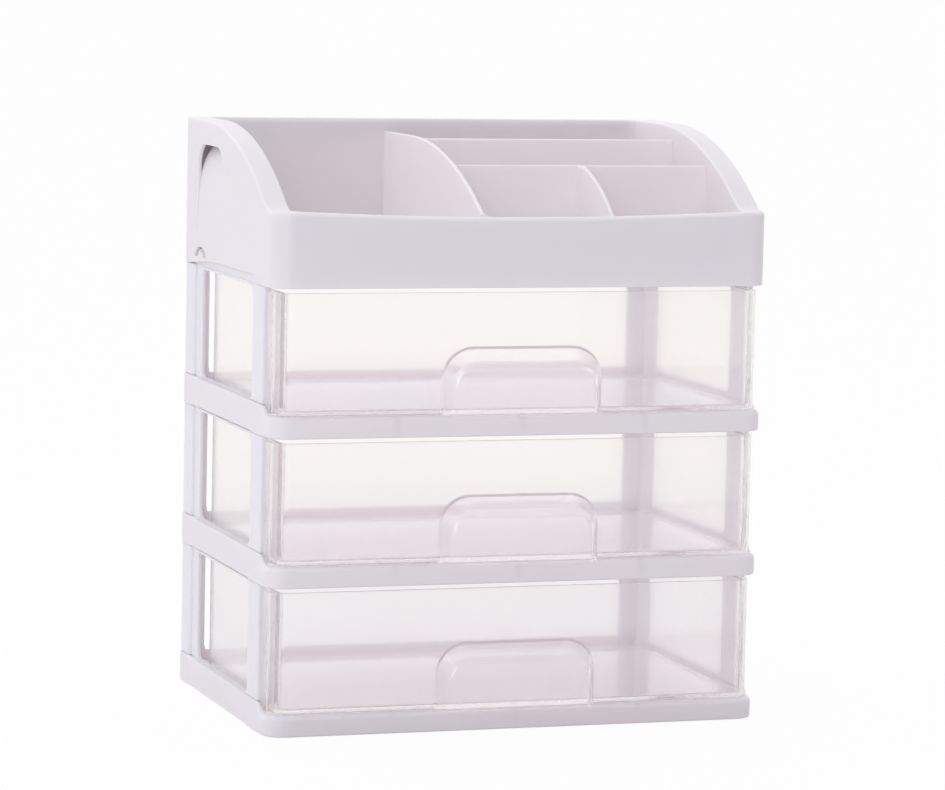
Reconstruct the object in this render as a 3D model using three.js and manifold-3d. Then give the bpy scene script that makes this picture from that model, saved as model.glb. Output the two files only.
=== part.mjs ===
// Desktop makeup organizer: an open tray of compartments over three stacked tiers.
// Each tier is a shelf, two windowed side frames and a clear drawer with an arched pull.
// Millimetres, X to the right, Y to the back, Z up. The origin is the middle of the
// whole footprint, pulls included, on the surface that the foot pads stand on.

import * as THREE from 'three';
import { mergeVertices } from 'three/addons/utils/BufferGeometryUtils.js';
import Module from 'manifold-3d';

const wasm = await Module();
wasm.setup();

// Driving sizes of the whole stack
const WIDTH = 290;
const STACK_DEPTH = 190;
const TIER_PITCH = 82.5;
const TRAY_HEIGHT = 84.5;
const FRONT_CORNER_RADIUS = 11.5;
const REAR_CORNER_RADIUS = 3;
const FIT_GAP = 0.3;
const CUT_OVERRUN = 1;
const ARC_STEPS = 6;
const ROUND_STEPS = 3;

// Foot pads under the bottom shelf
const PAD_RADIUS = 7;
const PAD_THICKNESS = 1.8;
const PAD_PROUD = 1;
const PAD_INSET = 26;
const PAD_SIDES = 24;
const BOSS_WALL = 1.8;

// Shelves
const SHELF_WALL = 2.1;
const DECK_THICKNESS = 2.2;
const LIP_HEIGHT = 12;
const RIM_HEIGHT = 17.3;
const SHELF_EDGE_ROUND = 1.5;
const RIM_SLOPE_START = 13;
const RIM_SLOPE_RUN = 8;
const RIB_THICKNESS = 1.6;
const SOCKET_RIB_HEIGHT = 7.3;
const STIFFENER_HEIGHT = 5.5;
const STIFFENERS_ACROSS = 2;
const STIFFENERS_ALONG = 3;
const GUIDE_RIB_HEIGHT = 3;
const GUIDE_RIB_THICKNESS = 1.5;

// Side frames
const PANEL_THICKNESS = 2.2;
const PANEL_FRONT_SETBACK = 21;
const PANEL_TOP_REACH = 9.5;
const POST_INSET = 0.5;
const POST_WALL = 2.2;
const POST_END_WALL = 2.4;
const REAR_POST_SETBACK = 19.2;
const WINDOW_FRONT_SETBACK = 42;
const WINDOW_REAR_SETBACK = 31.6;
const WINDOW_SILL_RISE = 0.8;
const WINDOW_TOP_DROP = 1.5;
const WINDOW_CORNER_RADIUS = 5;
const FLANGE_WIDTH = 12.2;
const FLANGE_TOP_REACH = 1.7;
const SOCKET_GAP = 0.5;

// Drawers
const DRAWER_WALL = 2;
const DRAWER_FLOOR = 2.2;
const DRAWER_FRONT_SETBACK = 2.5;
const DRAWER_REAR_SETBACK = 33;
const DRAWER_TOP_DROP = 2.5;
const DRAWER_SIDE_GAP = 0.5;
const DRAWER_REAR_RADIUS = 10;
const DRAWER_INNER_FRONT_RADIUS = 4;
const DRAWER_EDGE_ROUND = 2;
const FRONT_WING_INSET = 0.4;
const FRONT_WING_GAP = 0.8;

// Arched pulls, moulded on the drawer fronts
const PULL_WIDTH = 94;
const PULL_RISE = 37.7;
const PULL_REACH = 10;
const PULL_WALL = 2;
const PULL_CORNER_RADIUS = 18;
const PULL_SIDE_SLOPE = 4.5;
const PULL_TOP_SLOPE = 9.5;
const PULL_ROOT = 0.8;

// Top tray
const TRAY_SKIN = 2.1;
const TRAY_WALL = 2.2;
const TRAY_BACK_WALL = 3;
const TRAY_SIDE_RIM = 13;
const TRAY_FRONT_RIM = 6.5;
const TRAY_FLOOR_RISE = 2.3;
const TRAY_RELIEF_HEIGHT = 4.5;
const TRAY_RELIEF_FRONT_SETBACK = 39;
const TRAY_RELIEF_FRONT_RADIUS = 2;
const TRAY_RELIEF_SHOULDER = 89;
const TRAY_RELIEF_REAR_SETBACK = 9;
const TRAY_RIM_ROUND = 1.2;
const TRAY_SHOULDER = 45;
const TRAY_CURVE_RADIUS = 215.5;
const TRAY_FRONT_END_HEIGHT = 42;
const TRAY_FRONT_MID_HEIGHT = 38.8;
const TRAY_RIM_THICKNESS = 2.6;
const SEAT_RIBS = 4;
const SEAT_RIB_THICKNESS = 1.6;
const SEAT_RIB_HEIGHT = 12;
const POCKET_CORNER_RADIUS = 3.5;
const PARTITION_THICKNESS = 2.4;
const LEFT_POCKET_WIDTH = 106.9;
const DIVIDER_DROP = 7.5;
const DIVIDER_SHOULDER = 53;
const DIVIDER_CURVE_RADIUS = 252;
const SMALL_DIVIDER_DROP = 17.2;
const SMALL_DIVIDER_SHOULDER = 101;
const SMALL_DIVIDER_CURVE_RADIUS = 119.5;
const REAR_PARTITION_SETBACK = 122;
const REAR_PARTITION_HEIGHT = 76;
const MIDDLE_PARTITION_SETBACK = 67.7;
const MIDDLE_PARTITION_HEIGHT = 64;

// Hand grips in the tray's sides
const GRIP_FRONT_SETBACK = 82;
const GRIP_REAR_SETBACK = 27;
const GRIP_BOTTOM_HEIGHT = 9;
const GRIP_TOP_HEIGHT = 70.5;
const GRIP_DEPTH = 8;
const GRIP_CORNER_RADIUS = 14;
const GRIP_HEIGHT_SHARES = [0, 0.45, 0.7, 0.84, 0.94, 1];
const GRIP_DEPTH_SHARES = [0, 0.07, 0.25, 0.49, 0.78, 1];

// Snap latches between the tray and the upper side frames
const LATCH_SETBACK = 34;
const LATCH_SLOT_WIDTH = 26;
const LATCH_SLOT_BOTTOM = 5;
const LATCH_SLOT_TOP = 11;
const LATCH_TONGUE_WIDTH = 11;
const LATCH_TONGUE_HEIGHT = 3.9;
const LATCH_NIB_WIDTH = 6;
const LATCH_NIB_HEIGHT = 2;
const LATCH_NIB_RISE = 1;
const LATCH_NIB_REACH = 1.6;
const CATCH_CLEARANCE = 0.5;

// Places that follow from the sizes above
const HALF_WIDTH = WIDTH / 2;
const PULL_OVERHANG = PULL_REACH - DRAWER_FRONT_SETBACK;
const FRONT = (PULL_OVERHANG - STACK_DEPTH) / 2;
const BACK = FRONT + STACK_DEPTH;
const TIER_NAMES = ['bottom', 'middle', 'top'];
const TRAY_BASE = PAD_PROUD + TIER_NAMES.length * TIER_PITCH;
const DECK_UNDERSIDE = LIP_HEIGHT - DECK_THICKNESS;
const PANEL_OUTER = HALF_WIDTH - SHELF_WALL - FIT_GAP;
const PANEL_INNER = PANEL_OUTER - PANEL_THICKNESS;
const PANEL_FRONT = FRONT + PANEL_FRONT_SETBACK;
const PANEL_BACK = BACK - SHELF_WALL - FIT_GAP;
const PANEL_BOTTOM = LIP_HEIGHT + FIT_GAP;
const PANEL_TOP = TIER_PITCH + PANEL_TOP_REACH;
const FLANGE_INNER = PANEL_OUTER - FLANGE_WIDTH;
const FLANGE_FRONT = PANEL_BACK - PANEL_THICKNESS;
const POST_OUTER = HALF_WIDTH - POST_INSET;
const POST_BACK = BACK - POST_INSET;
const POST_BOTTOM = RIM_HEIGHT + FIT_GAP;
const POST_TOP = TIER_PITCH - FIT_GAP;
const REAR_POST_FRONT = BACK - REAR_POST_SETBACK;
const WINDOW_FRONT = FRONT + WINDOW_FRONT_SETBACK;
const WINDOW_BACK = BACK - WINDOW_REAR_SETBACK;
const GUIDE_OUTER = PANEL_INNER - SOCKET_GAP;
const GUIDE_INNER = GUIDE_OUTER - GUIDE_RIB_THICKNESS;
const DRAWER_HALF_WIDTH = GUIDE_INNER - DRAWER_SIDE_GAP;
const DRAWER_FRONT = FRONT + DRAWER_FRONT_SETBACK;
const DRAWER_BACK = BACK - DRAWER_REAR_SETBACK;
const DRAWER_BOTTOM = LIP_HEIGHT + FIT_GAP;
const DRAWER_TOP = TIER_PITCH - DRAWER_TOP_DROP;
const POCKET_FLOOR = TRAY_FLOOR_RISE + TRAY_WALL;
const POCKET_LEFT = TRAY_SIDE_RIM - HALF_WIDTH;
const POCKET_RIGHT = HALF_WIDTH - TRAY_SIDE_RIM;
const POCKET_FRONT = FRONT + TRAY_FRONT_RIM;
const POCKET_BACK = BACK - TRAY_BACK_WALL;
const DIVIDER_LEFT = POCKET_LEFT + LEFT_POCKET_WIDTH;
const DIVIDER_RIGHT = DIVIDER_LEFT + PARTITION_THICKNESS;
const LATCH_MIDDLE = BACK - LATCH_SETBACK;

const WHITE = new THREE.MeshStandardMaterial({ color: 0xe8e4e9, roughness: 0.45, metalness: 0 });
const CLEAR = new THREE.MeshStandardMaterial({
  color: 0xf4f0ef, roughness: 0.08, metalness: 0, transparent: true, opacity: 0.35,
});
const PAD = new THREE.MeshStandardMaterial({ color: 0xd9d7d8, roughness: 0.8, metalness: 0 });

// Frames of reference for outlines drawn in plan, in side view and in front view
const X_AXIS = new THREE.Vector3(1, 0, 0);
const Y_AXIS = new THREE.Vector3(0, 1, 0);
const Z_AXIS = new THREE.Vector3(0, 0, 1);
const IN_PLAN = new THREE.Matrix4();
const IN_SIDE_VIEW = new THREE.Matrix4().makeBasis(Y_AXIS, Z_AXIS, X_AXIS);
const IN_FRONT_VIEW = new THREE.Matrix4().makeBasis(X_AXIS, Z_AXIS, Y_AXIS.clone().negate());

// Turns a closed geometry into a solid that can be joined and cut.
function solid(geometry) {
  const bare = geometry.index ? geometry.clone() : geometry;
  bare.deleteAttribute('normal');
  bare.deleteAttribute('uv');
  const merged = mergeVertices(bare);
  return new wasm.Manifold(new wasm.Mesh({
    numProp: 3,
    vertProperties: new Float32Array(merged.attributes.position.array),
    triVerts: new Uint32Array(merged.index.array),
  }));
}

// Turns a finished solid back into a geometry.
function geometryOf(shape) {
  const mesh = shape.getMesh();
  const geometry = new THREE.BufferGeometry();
  geometry.setAttribute('position', new THREE.BufferAttribute(mesh.vertProperties, 3));
  geometry.setIndex(new THREE.BufferAttribute(mesh.triVerts, 1));
  geometry.computeVertexNormals();
  return geometry;
}

// Straight prism of an outline, from one height of its view's third axis to another.
function prism(outline, low, high, view = IN_PLAN) {
  const geometry = new THREE.ExtrudeGeometry(new THREE.Shape(outline), {
    depth: high - low, bevelEnabled: false,
  });
  geometry.translate(0, 0, low);
  geometry.applyMatrix4(view);
  return solid(geometry);
}

// Solid through outlines of equal point count, each lying at its own level.
function skin(levels, view = IN_PLAN) {
  const count = levels[0].outline.length;
  const positions = [];
  const index = [];
  for (const { outline, at } of levels) {
    for (const point of outline) positions.push(point.x, point.y, at);
  }
  for (let level = 0; level + 1 < levels.length; level += 1) {
    for (let i = 0; i < count; i += 1) {
      const a = level * count + i;
      const b = level * count + ((i + 1) % count);
      index.push(a, b, b + count, a, b + count, a + count);
    }
  }
  const last = (levels.length - 1) * count;
  for (const [a, b, c] of THREE.ShapeUtils.triangulateShape(levels[0].outline, [])) {
    index.push(a, c, b);
  }
  for (const [a, b, c] of THREE.ShapeUtils.triangulateShape(levels[levels.length - 1].outline, [])) {
    index.push(last + a, last + b, last + c);
  }
  const geometry = new THREE.BufferGeometry();
  geometry.setAttribute('position', new THREE.Float32BufferAttribute(positions, 3));
  geometry.setIndex(index);
  geometry.applyMatrix4(view);
  return solid(geometry);
}

// Block between two corners.
function block(low, high) {
  const size = high.clone().sub(low);
  const middle = low.clone().add(high).multiplyScalar(1 / 2);
  const geometry = new THREE.BoxGeometry(size.x, size.y, size.z);
  geometry.translate(middle.x, middle.y, middle.z);
  return solid(geometry);
}

// Block given by its distances from the middle plane on one side of the organizer.
function sideBlock(side, inner, outer, front, back, bottom, top) {
  const low = Math.min(side * inner, side * outer);
  const high = Math.max(side * inner, side * outer);
  return block(new THREE.Vector3(low, front, bottom), new THREE.Vector3(high, back, top));
}

// Upright round bar.
function post(x, y, radius, bottom, top) {
  const geometry = new THREE.CylinderGeometry(radius, radius, top - bottom, PAD_SIDES);
  geometry.rotateX(Math.PI / 2);
  geometry.translate(x, y, (bottom + top) / 2);
  return solid(geometry);
}

function arc(centreX, centreY, radius, from, to, steps = ARC_STEPS) {
  return Array.from({ length: steps + 1 }, (_, i) => {
    const angle = from + ((to - from) * i) / steps;
    return new THREE.Vector2(centreX + radius * Math.cos(angle), centreY + radius * Math.sin(angle));
  });
}

// Rectangle with rounded corners: the first radius for the two corners at the low end.
function roundedRectangle(left, right, low, high, lowRadius, highRadius = lowRadius) {
  const right90 = Math.PI / 2;
  return [
    ...arc(left + lowRadius, low + lowRadius, lowRadius, 2 * right90, 3 * right90),
    ...arc(right - lowRadius, low + lowRadius, lowRadius, 3 * right90, 4 * right90),
    ...arc(right - highRadius, high - highRadius, highRadius, 0, right90),
    ...arc(left + highRadius, high - highRadius, highRadius, right90, 2 * right90),
  ];
}

// Half an ellipse that stands on its flat side.
function halfEllipse(middle, halfWidth, base, height) {
  return arc(0, 0, 1, 0, Math.PI, 2 * ARC_STEPS).map((point) => new THREE.Vector2(
    middle + halfWidth * point.x, base + height * point.y,
  ));
}

// Rectangle whose two upper corners alone are rounded, as an arch stands.
function archOutline(left, right, low, high, radius) {
  const right90 = Math.PI / 2;
  return [
    new THREE.Vector2(left, low),
    new THREE.Vector2(right, low),
    ...arc(right - radius, high - radius, radius, 0, right90),
    ...arc(left + radius, high - radius, radius, right90, 2 * right90),
  ];
}

// Plan of the stack, drawn in by an inset.
function stackPlan(inset) {
  return roundedRectangle(
    inset - HALF_WIDTH, HALF_WIDTH - inset, FRONT + inset, BACK - inset,
    FRONT_CORNER_RADIUS - inset, REAR_CORNER_RADIUS - inset,
  );
}

// Levels of a body whose lower and upper edges are rounded off.
function softLevels(outlineAt, bottom, top, bottomRound, topRound) {
  const levels = [];
  for (let i = 0; i <= ROUND_STEPS && bottomRound > 0; i += 1) {
    const angle = (i / ROUND_STEPS) * (Math.PI / 2);
    levels.push({
      outline: outlineAt(bottomRound * (1 - Math.sin(angle))),
      at: bottom + bottomRound * (1 - Math.cos(angle)),
    });
  }
  if (!bottomRound) levels.push({ outline: outlineAt(0), at: bottom });
  for (let i = 0; i <= ROUND_STEPS && topRound > 0; i += 1) {
    const angle = (i / ROUND_STEPS) * (Math.PI / 2);
    levels.push({
      outline: outlineAt(topRound * (1 - Math.cos(angle))),
      at: top - topRound * (1 - Math.sin(angle)),
    });
  }
  if (!topRound) levels.push({ outline: outlineAt(0), at: top });
  return levels;
}

// Evenly spaced places between two ends, the ends left out.
function placesBetween(low, high, count) {
  return Array.from({ length: count }, (_, i) => low + ((high - low) * (i + 1)) / (count + 1));
}

// Shelf: a deck with a skirt below, a raised rim at the sides and back, and a low front lip.
function shelfGeometry() {
  let shelf = skin(softLevels(stackPlan, 0, RIM_HEIGHT, SHELF_EDGE_ROUND, SHELF_EDGE_ROUND));
  shelf = shelf.subtract(prism(stackPlan(SHELF_WALL), -CUT_OVERRUN, DECK_UNDERSIDE));
  shelf = shelf.subtract(prism(stackPlan(SHELF_WALL), LIP_HEIGHT, RIM_HEIGHT + CUT_OVERRUN));
  const lipCut = [
    new THREE.Vector2(FRONT - CUT_OVERRUN, LIP_HEIGHT),
    new THREE.Vector2(FRONT + RIM_SLOPE_START, LIP_HEIGHT),
    new THREE.Vector2(FRONT + RIM_SLOPE_START + RIM_SLOPE_RUN, RIM_HEIGHT),
    new THREE.Vector2(FRONT + RIM_SLOPE_START + RIM_SLOPE_RUN, RIM_HEIGHT + CUT_OVERRUN),
    new THREE.Vector2(FRONT - CUT_OVERRUN, RIM_HEIGHT + CUT_OVERRUN),
  ];
  const overWidth = HALF_WIDTH + CUT_OVERRUN;
  shelf = shelf.subtract(prism(lipCut, -overWidth, overWidth, IN_SIDE_VIEW));

  const inDeck = DECK_UNDERSIDE + DECK_THICKNESS / 2;
  for (const side of [-1, 1]) {
    shelf = shelf.add(sideBlock(
      side, GUIDE_OUTER - RIB_THICKNESS, GUIDE_OUTER, PANEL_FRONT, PANEL_BACK,
      DECK_UNDERSIDE - SOCKET_RIB_HEIGHT, inDeck,
    ));
    shelf = shelf.add(sideBlock(
      side, GUIDE_INNER, GUIDE_OUTER, PANEL_FRONT, FLANGE_FRONT - SOCKET_GAP,
      inDeck, LIP_HEIGHT + GUIDE_RIB_HEIGHT,
    ));
  }

  const ribLow = DECK_UNDERSIDE - STIFFENER_HEIGHT;
  const ribEnd = GUIDE_OUTER - RIB_THICKNESS / 2;
  for (const y of placesBetween(FRONT, BACK, STIFFENERS_ACROSS)) {
    shelf = shelf.add(block(
      new THREE.Vector3(-ribEnd, y - RIB_THICKNESS / 2, ribLow),
      new THREE.Vector3(ribEnd, y + RIB_THICKNESS / 2, inDeck),
    ));
  }
  for (const x of placesBetween(-HALF_WIDTH, HALF_WIDTH, STIFFENERS_ALONG)) {
    shelf = shelf.add(block(
      new THREE.Vector3(x - RIB_THICKNESS / 2, FRONT + SHELF_WALL / 2, ribLow),
      new THREE.Vector3(x + RIB_THICKNESS / 2, BACK - SHELF_WALL / 2, inDeck),
    ));
  }
  for (const [x, y] of padPlaces()) {
    const seat = PAD_RADIUS + FIT_GAP;
    shelf = shelf.add(post(x, y, seat + BOSS_WALL, 0, inDeck));
    shelf = shelf.subtract(post(x, y, seat, -CUT_OVERRUN, PAD_THICKNESS - PAD_PROUD + FIT_GAP));
  }
  return geometryOf(shelf);
}

function padPlaces() {
  const x = HALF_WIDTH - PAD_INSET;
  return [[-x, FRONT + PAD_INSET], [x, FRONT + PAD_INSET], [-x, BACK - PAD_INSET], [x, BACK - PAD_INSET]];
}

// Side frame: two posts round a window, a rear flange, and a panel that reaches into the
// shelf below and above. The posts stand out over the panel, nearly flush with the shelves,
// and their backs are hollow.
function sideFrameGeometry(side) {
  const inner = PANEL_INNER - CUT_OVERRUN;
  let frame = sideBlock(side, PANEL_INNER, PANEL_OUTER, PANEL_FRONT, PANEL_BACK, PANEL_BOTTOM, PANEL_TOP);
  frame = frame.add(sideBlock(
    side, FLANGE_INNER, PANEL_OUTER, FLANGE_FRONT, PANEL_BACK, PANEL_BOTTOM, TIER_PITCH + FLANGE_TOP_REACH,
  ));
  for (const [from, front, back] of [
    [PANEL_INNER, PANEL_FRONT, WINDOW_BACK],
    [PANEL_INNER, REAR_POST_FRONT, POST_BACK],
    [FLANGE_INNER, FLANGE_FRONT, POST_BACK],
  ]) {
    frame = frame.add(sideBlock(side, from, POST_OUTER, front, back, POST_BOTTOM, POST_TOP));
  }
  for (const [from, front, back] of [
    [inner, PANEL_FRONT + POST_WALL, WINDOW_FRONT - POST_WALL],
    [inner, REAR_POST_FRONT + POST_WALL, POST_BACK - POST_WALL],
    [FLANGE_INNER - CUT_OVERRUN, FLANGE_FRONT - CUT_OVERRUN, POST_BACK - POST_WALL],
  ]) {
    frame = frame.subtract(sideBlock(
      side, from, POST_OUTER - POST_WALL, front, back, POST_BOTTOM + POST_END_WALL, POST_TOP - POST_END_WALL,
    ));
  }
  const window = roundedRectangle(
    WINDOW_FRONT, WINDOW_BACK, RIM_HEIGHT + WINDOW_SILL_RISE, TIER_PITCH - WINDOW_TOP_DROP,
    WINDOW_CORNER_RADIUS,
  );
  const low = Math.min(side * inner, side * HALF_WIDTH);
  const high = Math.max(side * inner, side * HALF_WIDTH);
  frame = frame.subtract(prism(window, low, high, IN_SIDE_VIEW));
  const catchBottom = TIER_PITCH + LATCH_SLOT_BOTTOM + LATCH_NIB_RISE - CATCH_CLEARANCE;
  const catchHalf = LATCH_NIB_WIDTH / 2 + CATCH_CLEARANCE;
  frame = frame.subtract(sideBlock(
    side, inner, PANEL_OUTER + CUT_OVERRUN, LATCH_MIDDLE - catchHalf, LATCH_MIDDLE + catchHalf,
    catchBottom, catchBottom + LATCH_NIB_HEIGHT + 2 * CATCH_CLEARANCE,
  ));
  return geometryOf(frame);
}

// Outline of the drawer's box in plan, drawn in by an inset.
function drawerPlan(inset, frontRadius, rearRadius) {
  return roundedRectangle(
    inset - DRAWER_HALF_WIDTH, DRAWER_HALF_WIDTH - inset, DRAWER_FRONT + inset, DRAWER_BACK - inset,
    frontRadius, rearRadius,
  );
}

// Outline of the drawer front with the wings that turn back round its corners.
function wingPlan(inset, back = PANEL_FRONT - FRONT_WING_GAP) {
  const half = PANEL_OUTER - FRONT_WING_INSET - inset;
  const radius = FRONT_CORNER_RADIUS - inset;
  const right90 = Math.PI / 2;
  return [
    ...arc(-half + radius, DRAWER_FRONT + inset + radius, radius, 2 * right90, 3 * right90),
    ...arc(half - radius, DRAWER_FRONT + inset + radius, radius, 3 * right90, 4 * right90),
    new THREE.Vector2(half, back),
    new THREE.Vector2(-half, back),
  ];
}

// Pull outline in front view at a share of its reach, drawn in by an inset.
function pullOutline(reachShare, inset, bottom) {
  const half = PULL_WIDTH / 2 - PULL_SIDE_SLOPE * reachShare - inset;
  const top = DRAWER_BOTTOM + PULL_RISE - PULL_TOP_SLOPE * reachShare - inset;
  return archOutline(-half, half, bottom, top, PULL_CORNER_RADIUS - PULL_SIDE_SLOPE * reachShare - inset);
}

// Drawer: a clear open box, its rounded front wider than the box, with a hollow arched pull.
function drawerGeometry() {
  const boxOutline = (inset) => drawerPlan(
    inset, DRAWER_INNER_FRONT_RADIUS + DRAWER_WALL - inset, DRAWER_REAR_RADIUS - inset,
  );
  let drawer = skin(softLevels(boxOutline, DRAWER_BOTTOM, DRAWER_TOP, DRAWER_EDGE_ROUND, 0));
  let front = skin(softLevels(wingPlan, DRAWER_BOTTOM, DRAWER_TOP, DRAWER_EDGE_ROUND, 0));
  front = front.subtract(prism(
    wingPlan(DRAWER_WALL, PANEL_FRONT + CUT_OVERRUN),
    DRAWER_BOTTOM - CUT_OVERRUN, DRAWER_TOP + CUT_OVERRUN,
  ));
  drawer = drawer.add(front);
  drawer = drawer.subtract(prism(
    drawerPlan(DRAWER_WALL, DRAWER_INNER_FRONT_RADIUS, DRAWER_REAR_RADIUS - DRAWER_WALL),
    DRAWER_BOTTOM + DRAWER_FLOOR, DRAWER_TOP + CUT_OVERRUN,
  ));

  const root = -DRAWER_FRONT;
  const shell = skin([
    { outline: pullOutline(0, 0, DRAWER_BOTTOM), at: root - PULL_ROOT },
    { outline: pullOutline(0, 0, DRAWER_BOTTOM), at: root },
    { outline: pullOutline(1, 0, DRAWER_BOTTOM), at: root + PULL_REACH },
  ], IN_FRONT_VIEW);
  const hollow = skin([
    { outline: pullOutline(0, PULL_WALL, DRAWER_BOTTOM - CUT_OVERRUN), at: root },
    { outline: pullOutline(1, PULL_WALL, DRAWER_BOTTOM - CUT_OVERRUN), at: root + PULL_REACH - PULL_WALL },
  ], IN_FRONT_VIEW);
  return geometryOf(drawer.add(shell).subtract(hollow));
}

// Side view of the tray: flat at the back, then a falling arc, then a low rounded front.
function trayProfile(frontHeight, inset) {
  const arcCentre = BACK - TRAY_SHOULDER;
  const centreHeight = TRAY_HEIGHT - TRAY_CURVE_RADIUS;
  const radius = TRAY_CURVE_RADIUS - inset;
  const end = Math.asin((frontHeight - inset - centreHeight) / radius);
  const top = frontHeight - inset;
  return [
    new THREE.Vector2(FRONT, 0),
    new THREE.Vector2(BACK, 0),
    new THREE.Vector2(BACK, TRAY_HEIGHT - inset),
    ...arc(arcCentre, centreHeight, radius, Math.PI / 2, Math.PI - end, 3 * ARC_STEPS),
    ...arc(FRONT + TRAY_RIM_ROUND, top - TRAY_RIM_ROUND, TRAY_RIM_ROUND, Math.PI / 2, Math.PI, ROUND_STEPS),
  ];
}

// Height of the tray's front edge, which dips between the sides.
function trayFrontHeight(x) {
  const share = Math.min(Math.abs(x) / POCKET_RIGHT, 1);
  return TRAY_FRONT_MID_HEIGHT + (TRAY_FRONT_END_HEIGHT - TRAY_FRONT_MID_HEIGHT) * share * share;
}

// Outer form of the tray, its side edges rounded off.
function trayBody() {
  const right = [];
  for (let i = 1; i <= ARC_STEPS; i += 1) {
    const x = (POCKET_RIGHT * i) / ARC_STEPS;
    right.push({ outline: trayProfile(trayFrontHeight(x), 0), at: x });
  }
  for (let i = 0; i <= ROUND_STEPS; i += 1) {
    const angle = (i / ROUND_STEPS) * (Math.PI / 2);
    const x = HALF_WIDTH - TRAY_RIM_ROUND * (1 - Math.sin(angle));
    right.push({ outline: trayProfile(trayFrontHeight(x), TRAY_RIM_ROUND * (1 - Math.cos(angle))), at: x });
  }
  const left = right.map(({ outline, at }) => ({ outline, at: -at })).reverse();
  const middle = { outline: trayProfile(trayFrontHeight(0), 0), at: 0 };
  const body = skin([...left, middle, ...right], IN_SIDE_VIEW);
  return body.intersect(prism(stackPlan(0), 0, TRAY_HEIGHT + CUT_OVERRUN));
}

// Side view of the space above a divider: flat up to its shoulder, then a falling arc.
function aboveDivider(drop, shoulder, radius) {
  const arcCentre = BACK - shoulder;
  const top = TRAY_HEIGHT - drop;
  const end = Math.acos((arcCentre - POCKET_FRONT) / radius);
  const curve = arc(arcCentre, top - radius, radius, Math.PI / 2, Math.PI - end, 3 * ARC_STEPS);
  const frontPoint = new THREE.Vector2(FRONT, curve[curve.length - 1].y);
  const over = TRAY_HEIGHT + CUT_OVERRUN;
  return [
    ...[...curve, frontPoint].reverse(),
    new THREE.Vector2(BACK, top),
    new THREE.Vector2(BACK, over),
    new THREE.Vector2(FRONT, over),
  ];
}

// Side view of the cut that lifts a side skin's lower edge off the side frame: upright and
// rounded in front, flat, then falling in an arc to the tray's base near the back.
function sideRelief() {
  const front = FRONT + TRAY_RELIEF_FRONT_SETBACK;
  const shoulder = BACK - TRAY_RELIEF_SHOULDER;
  const run = TRAY_RELIEF_SHOULDER - TRAY_RELIEF_REAR_SETBACK;
  const radius = (run * run + TRAY_RELIEF_HEIGHT * TRAY_RELIEF_HEIGHT) / (2 * TRAY_RELIEF_HEIGHT);
  const foot = Math.asin(1 - TRAY_RELIEF_HEIGHT / radius);
  const corner = TRAY_RELIEF_FRONT_RADIUS;
  return [
    new THREE.Vector2(front, -CUT_OVERRUN),
    new THREE.Vector2(BACK - TRAY_RELIEF_REAR_SETBACK, -CUT_OVERRUN),
    ...arc(shoulder, TRAY_RELIEF_HEIGHT - radius, radius, foot, Math.PI / 2),
    ...arc(front + corner, TRAY_RELIEF_HEIGHT - corner, corner, Math.PI / 2, Math.PI, ROUND_STEPS),
  ];
}

function pocket(left, right, front, back, bottom) {
  const outline = roundedRectangle(left, right, front, back, POCKET_CORNER_RADIUS);
  return prism(outline, bottom, TRAY_HEIGHT + CUT_OVERRUN);
}

// Hand grip in one side: the scooped space for the fingers or, given a wall, the block behind it.
function gripSpace(side, wall) {
  const outside = side * (HALF_WIDTH + (wall ? 0 : CUT_OVERRUN));
  const deepest = side * (HALF_WIDTH - GRIP_DEPTH - wall);
  const top = GRIP_TOP_HEIGHT + wall;
  const scoop = GRIP_HEIGHT_SHARES.map((share, i) => new THREE.Vector2(
    side * (HALF_WIDTH - GRIP_DEPTH * GRIP_DEPTH_SHARES[i] - wall),
    GRIP_BOTTOM_HEIGHT + (GRIP_TOP_HEIGHT - GRIP_BOTTOM_HEIGHT) * share,
  ));
  const section = [
    new THREE.Vector2(outside, GRIP_BOTTOM_HEIGHT),
    ...scoop,
    ...(wall ? [new THREE.Vector2(deepest, top)] : []),
    new THREE.Vector2(outside, top),
  ];
  const front = BACK - GRIP_FRONT_SETBACK - wall;
  const back = BACK - GRIP_REAR_SETBACK + wall;
  const arch = archOutline(front, back, GRIP_BOTTOM_HEIGHT, top, GRIP_CORNER_RADIUS + wall);
  const low = Math.min(deepest - side * CUT_OVERRUN, outside);
  const high = Math.max(deepest - side * CUT_OVERRUN, outside);
  return prism(section, -back, -front, IN_FRONT_VIEW).intersect(prism(arch, low, high, IN_SIDE_VIEW));
}

// Ribs in the hollow of one side wall, which seat the tray on the side frame below.
function seatRibs(side) {
  const low = PANEL_TOP_REACH + FIT_GAP;
  return placesBetween(PANEL_FRONT, PANEL_BACK, SEAT_RIBS).map((y) => sideBlock(
    side, POCKET_RIGHT + TRAY_WALL / 2, HALF_WIDTH - TRAY_SKIN / 2,
    y - SEAT_RIB_THICKNESS / 2, y + SEAT_RIB_THICKNESS / 2, low, low + SEAT_RIB_HEIGHT,
  ));
}

// Snap latch cut in one side skin: an arched slot that leaves a tongue standing.
function latchSlot(side) {
  const slot = halfEllipse(
    LATCH_MIDDLE, LATCH_SLOT_WIDTH / 2, LATCH_SLOT_BOTTOM, LATCH_SLOT_TOP - LATCH_SLOT_BOTTOM,
  );
  const tongue = halfEllipse(
    LATCH_MIDDLE, LATCH_TONGUE_WIDTH / 2, LATCH_SLOT_BOTTOM - CUT_OVERRUN, LATCH_TONGUE_HEIGHT + CUT_OVERRUN,
  );
  const inner = HALF_WIDTH - TRAY_SKIN - CUT_OVERRUN;
  const outer = HALF_WIDTH + CUT_OVERRUN;
  const low = Math.min(side * inner, side * outer);
  const high = Math.max(side * inner, side * outer);
  return prism(slot, low, high, IN_SIDE_VIEW).subtract(
    prism(tongue, low - CUT_OVERRUN, high + CUT_OVERRUN, IN_SIDE_VIEW),
  );
}

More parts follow.
